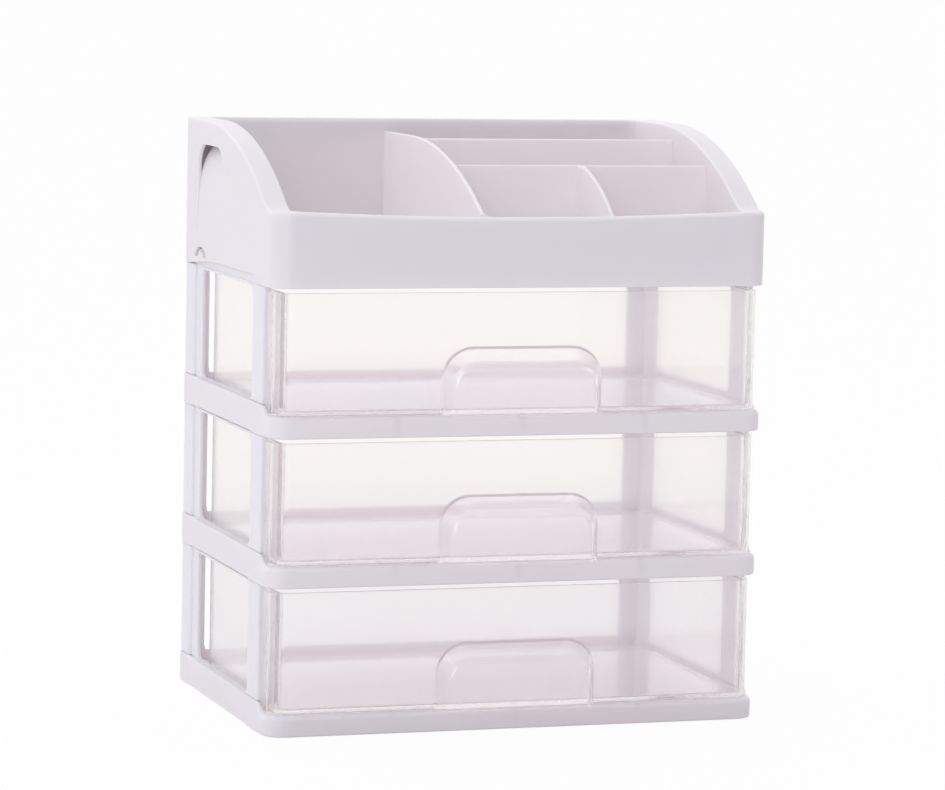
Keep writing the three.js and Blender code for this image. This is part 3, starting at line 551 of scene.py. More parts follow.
def foam_pad(name, colour, cell):
    """Grey-white foam, cut in discs. It gives the eye a dull, finely pitted face."""
    material, tree = new_material(name)
    place = add_node(tree, "ShaderNodeTexCoord")
    cells = add_node(tree, "ShaderNodeTexVoronoi", {
        "Vector": place.outputs["Object"], "Scale": 1 / (0.8 * MM),
    })
    tint = add_node(tree, "ShaderNodeMix", {
        "Factor": cells.outputs["Distance"], "A": linear(colour), "B": linear(cell),
    }, data_type="RGBA")
    relief = add_node(tree, "ShaderNodeBump", {
        "Height": cells.outputs["Distance"], "Strength": 0.4, "Distance": 0.1 * MM,
    })
    foam = add_node(tree, "ShaderNodeBsdfPrincipled", {
        "Base Color": tint.outputs["Result"], "Roughness": 0.9, "IOR": 1.45,
        "Normal": relief.outputs["Normal"],
    })
    add_node(tree, "ShaderNodeOutputMaterial", {"Surface": foam.outputs["BSDF"]})
    return material


def studio_paper(name, colour):
    """Matt white studio paper.

    It looks white to the camera and keeps a soft shadow. What clear plastic shows of it glows
    less near the object, as a painted shadow, and glows a warm white further off.
    """
    material, tree = new_material(name)
    paper = add_node(tree, "ShaderNodeBsdfDiffuse", {"Color": linear(colour)})
    glow = add_node(tree, "ShaderNodeEmission", {"Color": (1, 1, 1, 1), "Strength": 1.0})
    rays = add_node(tree, "ShaderNodeLightPath")
    bent = add_node(tree, "ShaderNodeMath", {
        0: rays.outputs["Is Transmission Ray"], 1: rays.outputs["Is Glossy Ray"],
    }, operation="MAXIMUM")
    place = add_node(tree, "ShaderNodeTexCoord")
    away = add_node(tree, "ShaderNodeVectorMath", {0: place.outputs["Object"]}, operation="LENGTH")
    # Painted shadow: the glow that clear plastic shows fades near the object, standing in for the object's
    # shadow on the floor.
    painted_shadow_fade = add_node(tree, "ShaderNodeMapRange", {
        "Value": away.outputs["Value"], "From Min": 0.4, "From Max": 1.2, "To Min": 0.6, "To Max": 0.98,
    })
    bent_share = add_node(tree, "ShaderNodeMath", {
        0: bent.outputs["Value"], 1: painted_shadow_fade.outputs["Result"],
    }, operation="MULTIPLY")
    straight_share = add_node(tree, "ShaderNodeMath", {
        0: rays.outputs["Is Camera Ray"], 1: 0.96,
    }, operation="MULTIPLY")
    share = add_node(tree, "ShaderNodeMath", {
        0: bent_share.outputs["Value"], 1: straight_share.outputs["Value"],
    }, operation="MAXIMUM")
    warmth = add_node(tree, "ShaderNodeMix", {
        "Factor": bent.outputs["Value"], "A": (1, 1, 1, 1), "B": linear("#FFFDF8"),
    }, data_type="RGBA")
    tree.links.new(warmth.outputs["Result"], glow.inputs["Color"])
    mixed = add_node(tree, "ShaderNodeMixShader", {
        0: share.outputs["Value"], 1: paper.outputs["BSDF"], 2: glow.outputs["Emission"],
    })
    add_node(tree, "ShaderNodeOutputMaterial", {"Surface": mixed.outputs["Shader"]})
    return material


def shared_material(name, make, *colours):
    """The material of that name, made the first time it is asked for."""
    return bpy.data.materials.get(name) or make(name, *colours)


def white_plastic():
    """The white of the tray and the shelves."""
    finishes = bpy.context.scene.organizer_finishes
    return shared_material(
        "Satin moulded polypropylene", moulded_polypropylene, finishes.white, finishes.white_streak
    )


def frame_plastic_painted_cool():
    """The white of the side frames, tinted a little cooler than the tray's: painted cool light, which stands
    in for the cool light and haze on them.
    """
    finishes = bpy.context.scene.organizer_finishes
    return shared_material(
        "Satin moulded polypropylene, painted cool light", moulded_polypropylene, finishes.frame_white_painted_cool, finishes.frame_streak_painted_cool
    )


def clear_plastic():
    """The clear plastic of the drawers."""
    return shared_material(
        "Polished clear polystyrene", clear_polystyrene, bpy.context.scene.organizer_finishes.clear
    )


# Shelves


def stack_loop(stack):
    """Plan of the stack: a rectangle with large front and small rear corners."""
    return rounded_loop(
        SHELF_LOW.x, SHELF_HIGH.x, SHELF_LOW.y, SHELF_HIGH.y, stack.front_corner, stack.rear_corner, 8, 60, 12
    )


def clear_of_posts(stack, points):
    """Is 1 where no post stands on a shelf's edge and 0 where one does, with smooth steps between."""
    ease = 2 * MM
    across = np.abs(points[:, 0])
    along = points[:, 1]
    front_low = SHELF_LOW.y + stack.slope_start + stack.slope_run
    front_high = SHELF_LOW.y + stack.window_front
    rear_low = SHELF_HIGH.y - stack.post_inset - stack.rear_post
    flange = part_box("side_frame_right_bottom")[0].x
    front = 1 - smooth_step(along, front_low - ease, front_low)
    window = smooth_step(along, front_high, front_high + ease)
    window = window * (1 - smooth_step(along, rear_low - ease, rear_low))
    back = 1 - smooth_step(across, flange - ease, flange)
    return np.maximum(np.maximum(front, window), back * (along > SHELF_HIGH.y - stack.rear_corner))


def shelf_shell(stack):
    """A profile carried round the plan: skirt, lip or rim, and deck.

    The rim's height rises in a smooth step from the lip's height behind the front corners. The
    edge rounding shrinks from the lip's to the rim's in the same step, and to a seam's where a
    post stands on the edge or under it.
    """
    loop = stack_loop(stack)
    base = SHELF_LOW.z
    points = loop[0]
    start = SHELF_LOW.y + stack.slope_start
    rise = smooth_step(points[:, 1], start, start + stack.slope_run)
    top = base + stack.lip + (stack.rim - stack.lip) * rise
    clear = clear_of_posts(stack, points)
    radius = stack.lip_round + (stack.rim_round - stack.lip_round) * rise
    radius = stack.seam_round + (radius - stack.seam_round) * clear
    foot = stack.seam_round + (stack.foot_round - stack.seam_round) * clear
    inner_round = 0.5 * MM
    chamfer = 0.3 * MM
    land = 0.1 * MM
    inner_edge = np.maximum(stack.wall - inner_round * rise, radius + land * (1 - rise))
    deck_top = base + stack.lip
    deck_bottom = deck_top - stack.deck

    levels = [
        heights(inset(loop, stack.wall), deck_bottom),
        heights(inset(loop, stack.wall), base + chamfer),
        heights(inset(loop, stack.wall - chamfer), base),
    ]
    for inward, down in rounding(1.0, 4):
        levels.append(heights(inset(loop, foot * down), base + foot * inward))
    for inward, down in rounding(1.0, 5):
        levels.append(heights(inset(loop, radius * inward), top - radius * down))
    levels.append(heights(inset(loop, inner_edge), top))
    for angle in np.radians((30, 60, 90)):
        levels.append(heights(
            inset(loop, inner_edge + inner_round * rise * math.sin(angle)),
            top - inner_round * rise * (1 - math.cos(angle)),
        ))
    well = inner_edge + inner_round * rise
    fillet = 0.8 * MM
    for angle in np.radians((0, 30, 60, 90)):
        levels.append(heights(
            inset(loop, well + fillet * (1 - math.cos(angle))),
            deck_top + np.minimum(fillet, top - deck_top - inner_round * rise) * (1 - math.sin(angle)),
        ))
    shell = Shell()
    rings = shell.rings(levels)
    shell.cap(rings[0])
    shell.cap(rings[-1])
    return shell


def pad_places():
    """Middles of the four foot pads in plan."""
    places = {}
    for end in ("front", "rear"):
        for side in ("left", "right"):
            low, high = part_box(f"foot_pad_{end}_{side}")
            places[f"{end}_{side}"] = ((low.x + high.x) / 2, (low.y + high.y) / 2)
    return places


def shelf_ribs(stack, shell):
    """Ribs under the deck and the two guide ribs on it, as straight blocks rooted in the deck."""
    base = SHELF_LOW.z
    deck_bottom = base + stack.lip - stack.deck
    inside = deck_bottom + stack.deck / 2
    half = stack.rib / 2
    front, back = SHELF_LOW.y, SHELF_HIGH.y
    panel_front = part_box("side_frame_right_bottom")[0].y
    guide_outer = SHELF_HIGH.x - stack.wall - stack.fit - stack.panel - stack.guide_gap
    guide_back = SHELF_HIGH.y - stack.wall - stack.fit - stack.panel - stack.guide_gap
    rib_low = deck_bottom - stack.rib_depth
    root = 0.3 * MM
    for share in (1 / 3, 2 / 3):
        y = front + (back - front) * share
        box_shell(shell, (-guide_outer + half, y - half, rib_low), (guide_outer - half, y + half, inside))
    for share in (1 / 4, 1 / 2, 3 / 4):
        x = SHELF_LOW.x + (SHELF_HIGH.x - SHELF_LOW.x) * share
        box_shell(
            shell, (x - half, front + stack.wall / 2, rib_low), (x + half, back - stack.wall / 2, inside)
        )
    for thickness, low, high in (
        (stack.rib, deck_bottom - stack.socket_depth, inside),
        (stack.guide, inside - root, base + stack.lip + stack.guide_rise),
    ):
        for side in (-1, 1):
            left, right = sorted((side * (guide_outer - thickness), side * guide_outer))
            box_shell(shell, (left, panel_front, low), (right, guide_back, high))


def disc_rings(x, y, radius, levels):
    """Circles about one middle, each level giving how far in and at what height."""
    circle = arc(0, 0, 1, 0, 360, 48)[:-1]
    return [heights(circle * (radius - inward) + (x, y), height) for inward, height in levels]


def pad_bosses(stack, shell):
    """Round recesses for the pads: a tube that hangs from the deck, with a floor near its end."""
    base = SHELF_LOW.z
    deck = base + stack.lip - stack.deck / 2
    wall = 1.8 * MM
    chamfer = 0.3 * MM
    recess = 1.1 * MM
    for x, y in pad_places().values():
        rings = shell.rings(disc_rings(x, y, stack.pad_boss, (
            (0, deck), (0, base + chamfer), (chamfer, base), (wall - chamfer, base), (wall, base + chamfer),
            (wall, base + recess),
        )))
        shell.cap(rings[0])
        shell.cap(rings[-1])


class ORGANIZER_OT_shelves(bpy.types.Operator):
    """Add the three moulded shelves"""

    bl_idname = "organizer.shelves"
    bl_label = "Shelves"

    def execute(self, context):
        stack = context.scene.organizer_stack
        for tier, base in zip(TIERS, TIER_BASES):
            shell = shelf_shell(stack)
            shelf_ribs(stack, shell)
            pad_bosses(stack, shell)
            piece = new_piece(f"shelf_moulding_{tier}", shell, base - TIER_BASES[0])
            soften(piece)
            dress(piece, white_plastic(), "frame", "white_plastic", f"shelf_{tier}")
        return {"FINISHED"}


# Side frames


def panel_ring(stack, low, high, window):
    """A ring profile carried round the window: a flat panel with every edge rounded off.

    The ring starts on the panel's outer edge, crosses its outer face to the window, passes
    through the window and comes back over the inner face.
    """
    outer = SHELF_HIGH.x - stack.wall - stack.fit
    inner = outer - stack.panel
    edge = stack.panel_edge
    corner = 1.0 * MM
    rim = rounded_loop(low.y, SHELF_HIGH.y - stack.wall - stack.fit, low.z, high.z, corner, corner, 8, 40, 40)
    levels = []
    for inward, down in rounding(edge, 3):
        levels.append((inset(rim, inward), outer - down))
    for inward, down in rounding(edge, 3, falling=True):
        levels.append((inset(window, -inward), outer - down))
    for inward, down in rounding(edge, 3):
        levels.append((inset(window, -inward), inner + down))
    for inward, down in rounding(edge, 3, falling=True):
        levels.append((inset(rim, inward), inner + down))
    shell = Shell()
    shell.rings([np.column_stack([np.full(len(loop), x), loop]) for loop, x in levels], wrap=True)
    return shell


def front_post(stack, face, front, bottom, top, window):
    """The front post and the rails above and below the window: a slab in the shape of a C.

    Its outline in side view is carried from within the panel to the outer face, where its edge
    turns in a quarter round: the post's radius along the front and a small one elsewhere.
    """
    near, far, sill, head = window
    corner = stack.window_corner
    ends = 3 * MM
    small = 0.2 * MM
    sunk = 0.45 * MM
    start = SHELF_HIGH.x - stack.wall - stack.fit - sunk
    outline = np.vstack([
        [[front, top - ends], [front, bottom + ends], [front, bottom], [far, bottom], [far, sill]],
        arc(near + corner, sill + corner, corner, 270, 180, 8),
        arc(near + corner, head - corner, corner, 180, 90, 8),
        [[far, head], [far, top], [front, top]],
    ])
    radius = np.full(len(outline), small)
    radius[:2] = stack.post_edge
    loop = mitred(outline)
    levels = [(inset(loop, 0), np.full(len(outline), start))]
    for inward, down in rounding(1.0, 4):
        levels.append((inset(loop, radius * inward), face - radius * down))
    shell = Shell()
    rings = shell.rings([np.column_stack([x, plan]) for plan, x in levels])
    shell.cap_between(rings[0])
    shell.cap_between(rings[-1])
    return shell


def rear_post(stack, face, flange, back, bottom, top):
    """The rear corner post and its flange: an angle in plan, carried upwards."""
    wall = stack.post_wall
    sunk = 0.3 * MM
    inner = face - wall - sunk
    front = back - stack.rear_post
    edge = 0.7 * MM
    corner = stack.rear_corner - stack.post_inset
    end = 0.5 * MM
    plan = np.vstack([
        [[inner, front]],
        arc(face - edge, front + edge, edge, -90, 0, 4),
        arc(face - corner, back - corner, corner, 0, 90, 8),
        arc(flange + end, back - end, end, 90, 180, 4),
        arc(flange + end, back - wall + end, end, 180, 270, 4),
        [[inner, back - wall]],
    ])
    loop = mitred(plan)
    seam = stack.seam_round
    shell = Shell()
    rings = shell.rings([
        heights(inset(loop, seam), bottom), heights(inset(loop, 0), bottom + seam),
        heights(inset(loop, 0), top - seam), heights(inset(loop, seam), top),
    ])
    shell.cap_between(rings[0])
    shell.cap_between(rings[-1])
    return shell


def flange_tongue(stack, flange, start, end):
    """The part of the flange that reaches into the shelf above or below."""
    inside = 0.1 * MM
    outer = SHELF_HIGH.x - stack.wall - stack.fit - inside
    back = SHELF_HIGH.y - stack.wall - stack.fit
    shell = Shell()
    box_shell(shell, (flange + inside / 2, back - stack.panel, start), (outer, back, end))
    return shell


def catch_hole(stack, high):
    """The hole near the panel's upper edge that the tray's latch snaps into."""
    middle = SHELF_HIGH.y - stack.catch_place
    half = 3.5 * MM
    below_edge = 1.0 * MM
    height = 3.0 * MM
    overrun = 1.0 * MM
    outer = SHELF_HIGH.x - stack.wall
    inner = outer - stack.fit - stack.panel - overrun
    top = high.z - below_edge
    shell = Shell()
    box_shell(shell, (inner, middle - half, top - height), (outer, middle + half, top))
    return shell


def side_frame(stack, name, node, side):
    """The panel with its window and catch hole, the two posts that stand out over it, and the flange.

    It is worked out for the right side, and the left one is its mirror image.
    """
    low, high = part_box(node)
    base = low.z - stack.lip - stack.fit
    face = SHELF_HIGH.x - stack.post_inset
    back = SHELF_HIGH.y - stack.post_inset
    flange = min(abs(low.x), abs(high.x))
    bottom = base + stack.rim + stack.fit
    top = base + TIER_PITCH - stack.fit
    root = 2.4 * MM
    window = (
        SHELF_LOW.y + stack.window_front, SHELF_HIGH.y - stack.window_back,
        base + stack.rim + stack.window_sill, base + TIER_PITCH - stack.window_head,
    )
    opening = rounded_loop(*window, stack.window_corner, stack.window_corner, 8, 40, 40)
    piece = new_piece(name, panel_ring(stack, low, high, opening), side=side)
    carve(piece, new_piece("catch", catch_hole(stack, high), side=side), "DIFFERENCE")
    for shell in (
        front_post(stack, face, low.y, bottom, top, window),
        rear_post(stack, face, flange, back, bottom, top),
        flange_tongue(stack, flange, low.z, bottom + root),
        flange_tongue(stack, flange, top - root, base + TIER_PITCH + stack.flange_tongue),
    ):
        carve(piece, new_piece("part", shell, side=side), "UNION")
    return piece


class ORGANIZER_OT_side_frames(bpy.types.Operator):
    """Add the six windowed side frames"""

    bl_idname = "organizer.side_frames"
    bl_label = "Side frames"

    def execute(self, context):
        stack = context.scene.organizer_stack
        for tier in TIERS:
            for name, side in SIDES:
                node = f"side_frame_{name}_{tier}"
                piece = side_frame(stack, f"side_frame_moulding_{name}_{tier}", node, side)
                soften(piece)
                # The side frames get the cooler white, which is painted cool light.
                dress(piece, frame_plastic_painted_cool(), "frame", "white_plastic", node)
        return {"FINISHED"}


# Drawers


def drawer_front(drawers):
    """The face of the drawer's front, behind the reach of its pull."""
    return DRAWER_LOW.y + drawers.pull_reach


def drawer_outer(drawers, distance):
    """Plan of the drawer's outside, drawn in by a distance.

    From the middle of the front: a rounded corner, the wing that turns back, its rounded end,
    the slot between wing and box, then the box's side and rear corner. The other half is its
    mirror image.
    """
    corner = drawers.front_corner
    wing_end = SHELF_LOW.y + drawers.wing_end
    wing_half = drawers.wall / 2
    side = DRAWER_HIGH.x - drawers.side_inset - distance
    back = DRAWER_HIGH.y - distance
    rear = drawers.rear_corner - distance
    middle = (DRAWER_HIGH.x - corner, drawer_front(drawers) + corner)
    slot = drawers.slot + distance
    turn = math.degrees(math.acos((side - middle[0]) / slot))
    right = np.vstack([
        arc(*middle, corner - distance, -90, 0, 8),
        arc(DRAWER_HIGH.x - wing_half, wing_end - wing_half, wing_half - distance, 0, 180, 8),
        arc(*middle, slot, 0, -turn, 6),
        arc(side - rear, back - rear, rear, 0, 90, 9),
    ])
    return np.vstack([right, right[::-1] * (-1, 1)])


def drawer_inner(drawers, distance):
    """Plan of the drawer's inside, widened by a distance."""
    side = DRAWER_HIGH.x - drawers.side_inset - drawers.wall + distance
    front = drawer_front(drawers) + drawers.wall - distance
    back = DRAWER_HIGH.y - drawers.wall + distance
    near = drawers.inner_corner + distance
    rear = drawers.rear_corner - drawers.wall + distance
    right = np.vstack([
        arc(side - near, front + near, near, -90, 0, 8),
        arc(side - rear, back - rear, rear, 0, 90, 9),
    ])
    return np.vstack([right, right[::-1] * (-1, 1)])


def drawer_shell(drawers):
    """Outer and inner walls as stacked plans, joined by a rounded rim and closed by two floors.

    The outer lower edge is a quarter round stretched upwards to twice its height.
    """
    bottom, top = DRAWER_LOW.z, DRAWER_HIGH.z
    lip = 0.4 * MM
    lower = 0.9 * MM
    outer = [heights(drawer_outer(drawers, down), bottom + inward * 2) for inward, down in rounding(lower, 4)]
    outer += [heights(drawer_outer(drawers, inward), top - down) for inward, down in rounding(lip, 3)]
    inner = [
        heights(drawer_inner(drawers, inward), top - down) for inward, down in rounding(lip, 3, falling=True)
    ]
    floor = bottom + drawers.floor
    for inward, down in rounding(drawers.floor_fillet, 4):
        inner.append(heights(drawer_inner(drawers, -inward), floor + down))
    shell = Shell()
    outside = shell.rings(outer)
    inside = shell.rings(inner)
    shell.cap_between(outside[0])
    shell.cap_between(outside[-1], inside[0])
    shell.cap_between(inside[-1])
    return shell


def pull_outline(drawers, share, distance, bottom):
    """Arch in front view at a share of the pull's reach, drawn in by a distance."""
    half = drawers.pull_width / 2 - drawers.pull_side_slope * share - distance
    top = DRAWER_LOW.z + drawers.pull_rise - drawers.pull_top_slope * share - distance
    radius = drawers.pull_corner - drawers.pull_side_slope * share - distance
    return np.vstack([
        [[-half, bottom], [half, bottom]],
        arc(half - radius, top - radius, radius, 0, 90, 14),
        arc(radius - half, top - radius, radius, 90, 180, 14),
    ])


def loft(name, sections):
    """A closed solid through outlines in front view, each at its own distance along Y."""
    shell = Shell()
    rings = shell.rings([
        np.column_stack([outline[:, 0], np.full(len(outline), y), outline[:, 1]]) for outline, y in sections
    ])
    shell.cap(rings[0])
    shell.cap(rings[-1])
    return new_piece(name, shell)


def add_pull(drawers, piece):
    """The pull: an arched hood with rounded face edges, hollow and open below."""
    front = drawer_front(drawers)
    bottom = DRAWER_LOW.z
    root = 0.8 * MM
    overrun = 2.0 * MM
    reach = drawers.pull_reach
    radius = drawers.pull_round
    hood = [(pull_outline(drawers, 0, 0, bottom), front + root)]
    hood += [(pull_outline(drawers, share, 0, bottom), front - reach * share) for share in (0, 0.3, 0.6)]
    for inward, down in rounding(radius, 5):
        depth = reach - down
        hood.append((pull_outline(drawers, depth / reach, inward, bottom), front - depth))
    wall = drawers.wall
    hollow = [(pull_outline(drawers, 0, wall, bottom - overrun), front)]
    for inward, down in rounding(radius, 5):
        depth = reach - wall - down
        hollow.append((pull_outline(drawers, depth / reach, wall + inward, bottom - overrun), front - depth))
    carve(piece, loft("hood", hood), "UNION")
    carve(piece, loft("hollow", hollow), "DIFFERENCE")


class ORGANIZER_OT_drawers(bpy.types.Operator):
    """Add the three clear drawers with their arched pulls"""

    bl_idname = "organizer.drawers"
    bl_label = "Drawers"

    def execute(self, context):
        drawers = context.scene.organizer_drawers
        first = new_piece("drawer_moulding_bottom", drawer_shell(drawers))
        add_pull(drawers, first)
        soften(first)
        pieces = [first]
        for tier, base in zip(TIERS[1:], TIER_BASES[1:]):
            mesh = first.data.copy()
            mesh.transform(Matrix.Translation((0, 0, base - TIER_BASES[0])))
            piece = first.copy()
            piece.name = f"drawer_moulding_{tier}"
            piece.data = mesh
            context.scene.collection.objects.link(piece)
            pieces.append(piece)
        for tier, piece in zip(TIERS, pieces):
            dress(piece, clear_plastic(), f"drawer_{tier}", "clear_plastic", f"drawer_{tier}")
        return {"FINISHED"}


# Tray


def tray_rim(tray, x, y):
    """Height of the tray's rim above its base.

    Level at the back, then an arc that falls towards the front, and a front rim that dips with
    the square of the distance from the sides. The two meet in a smooth hollow.
    """
    height = TRAY_HIGH.z - TRAY_LOW.z
    centre = height - tray.curve
    ahead = np.clip(TRAY_HIGH.y - tray.shoulder - y, 0, tray.curve)
    fall = centre + np.sqrt(tray.curve ** 2 - ahead ** 2)
    across = np.clip(np.abs(x) / (TRAY_HIGH.x - tray.side_rim), 0, 1)
    front = tray.front_middle + (tray.front_end - tray.front_middle) * across ** 2
    return smooth_high(fall, front, tray.blend)


def pocket_loop(tray, widened=0.0):
    """Plan of the whole hollow of the tray, widened by a distance, but never into the back skin."""
    radius = tray.pocket_corner + widened
    gap = 0.05 * MM
    back = min(TRAY_HIGH.y - tray.back_rim + widened, TRAY_HIGH.y - tray.skin - gap)
    return rounded_loop(
        TRAY_LOW.x + tray.side_rim - widened, TRAY_HIGH.x - tray.side_rim + widened,
        TRAY_LOW.y + tray.front_rim - widened, back, radius, radius, 8, 90, 100,
    )


def at_side(points):
    """Which points of the tray's outline lie on its two sides."""
    touch = 0.01 * MM
    return np.abs(points[:, 0]) > TRAY_HIGH.x - touch


def tray_relief(tray, points):
    """Height of the lower edge above the tray's base.

    Nothing at the front and back. At the sides it rises in a smooth step behind the front
    posts, stays level, and falls in an arc to the base near the back.
    """
    along = points[:, 1]
    ease = 4 * MM
    shoulder = TRAY_HIGH.y - tray.relief_shoulder
    run = tray.relief_shoulder - tray.relief_back
    radius = (run ** 2 + tray.relief ** 2) / (2 * tray.relief)
    behind = np.clip(along - shoulder, 0, run)
    fall = tray.relief - radius + np.sqrt(radius ** 2 - behind ** 2)
    front = TRAY_LOW.y + tray.relief_front
    return fall * smooth_step(along, front, front + ease) * at_side(points)


def tray_shell(stack, tray):
    """A profile carried round the plan: hollow double wall, rim, inner wall and floor.

    The outer upper edge is rounded more at the front than behind it, with a smooth step between.
    """
    base = TRAY_LOW.z
    under_rim = 2.6 * MM
    chamfer = 0.3 * MM
    end_foot = 0.8 * MM
    more_foot = 0.5 * MM
    step_start, step_end = 6 * MM, 20 * MM
    fillet = 2.0 * MM
    outer = rounded_loop(
        TRAY_LOW.x, TRAY_HIGH.x, TRAY_LOW.y, TRAY_HIGH.y, stack.front_corner, stack.rear_corner, 8, 90, 100
    )
    relief = tray_relief(tray, outer[0])
    foot_round = np.where(at_side(outer[0]), stack.seam_round, end_foot)
    foot_round = foot_round + more_foot * np.clip(relief / tray.relief, 0, 1)
    pocket = pocket_loop(tray)
    behind = pocket_loop(tray, tray.wall)

    def at_rim(loop, down):
        return heights(loop, base + tray_rim(tray, loop[:, 0], loop[:, 1]) - down)

    floor_top = base + tray.floor_rise
    levels = [
        heights(behind[0], floor_top - tray.wall),
        at_rim(behind[0], under_rim),
        at_rim(inset(outer, tray.skin), under_rim),
        heights(inset(outer, tray.skin), base + relief + chamfer),
        heights(inset(outer, tray.skin - chamfer), base + relief),
    ]
    for inward, down in rounding(1.0, 3):
        levels.append(heights(inset(outer, foot_round * down), base + relief + foot_round * inward))
    behind_front = smooth_step(outer[0][:, 1], TRAY_LOW.y + step_start, TRAY_LOW.y + step_end)
    rim_round = tray.front_round + (tray.outer_round - tray.front_round) * behind_front
    edge = at_rim(outer[0], rim_round)
    foot = heights(outer[0], base + relief + foot_round)
    for share in np.linspace(0, 1, 14)[1:-1]:
        levels.append(foot + (edge - foot) * share)
    for inward, down in rounding(1.0, 6):
        levels.append(at_rim(inset(outer, rim_round * inward), rim_round * down))
    start = inset(outer, rim_round)
    end = inset(pocket, -tray.inner_round)
    for share in np.linspace(0, 1, 8)[1:-1]:
        levels.append(at_rim(start + (end - start) * share, 0))
    for inward, down in rounding(tray.inner_round, 4, falling=True):
        levels.append(at_rim(inset(pocket, -inward), down))
    high = at_rim(pocket[0], tray.inner_round)
    low = heights(pocket[0], floor_top + fillet)
    for share in np.linspace(0, 1, 12)[1:-1]:
        levels.append(high + (low - high) * share)
    for inward, down in rounding(fillet, 4):
        levels.append(heights(inset(pocket, inward), floor_top + down))
    shell = Shell()
    rings = shell.rings(levels)
    shell.cap(rings[0])
    shell.cap(rings[-1])
    return shell


def plate(along, across, ends, floor, top, thickness, fillet):
    """A standing partition: its profile is carried along a straight line in plan.

    along picks the axis that the partition runs in, across is its middle on the other axis and
    ends are its two ends. top gives its upper edge at each place. The sides flare out in quarter
    rounds at the floor and at both ends, where the partition grows out of the tray, and the
    upper edge is close to a half round.
    """
    start, end = ends
    near = fillet * (1 - np.cos(np.linspace(0, np.pi / 2, 6)))
    straight = np.linspace(start + fillet, end - fillet, 60)[1:-1]
    place = np.concatenate([start + near, straight, end - near[::-1]])
    edge = np.minimum(place - start, end - place)
    reach = np.clip(fillet - edge, 0, fillet)
    flare = fillet - np.sqrt(np.maximum(fillet ** 2 - reach ** 2, 0))
    upper = top(place)
    half = thickness / 2
    height = []
    wide = []
    for angle in np.radians(np.linspace(0, 90, 6)):
        height.append(np.full_like(place, floor + fillet * (1 - math.cos(angle))))
        wide.append(half + flare + fillet * (1 - math.sin(angle)))
    round_edge = half * 0.9
    for share in (0.25, 0.5, 0.75):
        low = floor + fillet
        height.append(low + (upper - round_edge - low) * share)
        wide.append(half + flare)
    for angle in np.radians(np.linspace(0, 90, 6)):
        height.append(upper - round_edge * (1 - math.sin(angle)))
        wide.append((half + flare) - round_edge * (1 - math.cos(angle)))
    profile = [(h, w) for h, w in zip(height, wide)]
    profile += [(h, -w) for h, w in zip(height[::-1], wide[::-1])]
    columns = []
    for h, w in profile:
        pair = (place, across + w) if along == "x" else (across + w, place)
        columns.append(np.column_stack([*pair, h]))
    shell = Shell()
    rings = shell.rings(np.stack(columns, 1))
    shell.cap(rings[0])
    shell.cap(rings[-1])
    return new_piece("partition", shell)


def divider_top(y, drop, shoulder, radius):
    """Upper edge of a divider: level at the back, then an arc that falls to the front."""
    ahead = np.clip(TRAY_HIGH.y - shoulder - y, 0, radius)
    return TRAY_HIGH.z - drop - radius + np.sqrt(radius ** 2 - ahead ** 2)


def partitions(tray):
    """The curved large divider, the two low walls across the right half and the small divider.

    Each goes a little into the tray's floor and walls.
    """
    sunk = 0.1 * MM
    over = 0.5 * MM
    fillet = 2.2 * MM
    floor = TRAY_LOW.z + tray.floor_rise - sunk
    thick = tray.partition
    left = TRAY_LOW.x + tray.side_rim
    right = TRAY_HIGH.x - tray.side_rim
    front = TRAY_LOW.y + tray.front_rim
    back = TRAY_HIGH.y - tray.back_rim
    large = left + tray.left_pocket + thick / 2
    small = (large + thick / 2 + right) / 2
    middle = TRAY_LOW.y + tray.middle_place + thick / 2
    rear = TRAY_LOW.y + tray.rear_place + thick / 2

    def large_top(y):
        return divider_top(y, tray.divider_drop, tray.divider_shoulder, tray.divider_curve)

    def small_top(y):
        fall = divider_top(y, tray.small_drop, tray.small_shoulder, tray.small_curve)
        return np.minimum(fall, TRAY_LOW.z + tray.middle_height)

    def level(height):
        return lambda x: np.full_like(x, TRAY_LOW.z + height)

    yield plate("y", large, (front - over, back + over), floor, large_top, thick, fillet)
    for y, height in ((rear, tray.rear_height), (middle, tray.middle_height)):
        yield plate("x", y, (large, right + over), floor, level(height), thick, fillet)
    yield plate("y", small, (front - over, middle), floor, small_top, thick, fillet)


def side_arch(front, back, low, high, radius):
    """Arch in side view, cut off level at its lower end."""
    cut = np.clip((low - high + radius) / radius, 0, 1)
    turn = arc(back - radius, high - radius, radius, math.degrees(math.asin(cut)), 90, 12)
    mirrored = turn[::-1] * (-1, 1) + (front + back, 0)
    return np.vstack([[[mirrored[-1, 0], low], [turn[0, 0], low]], turn, mirrored])


def side_solid(name, sections):
    """A closed solid through outlines in side view, each at its own distance along X."""
    shell = Shell()
    rings = shell.rings([np.column_stack([np.full(len(outline), x), outline]) for outline, x in sections])
    shell.cap(rings[0])
    shell.cap(rings[-1])
    return new_piece(name, shell)


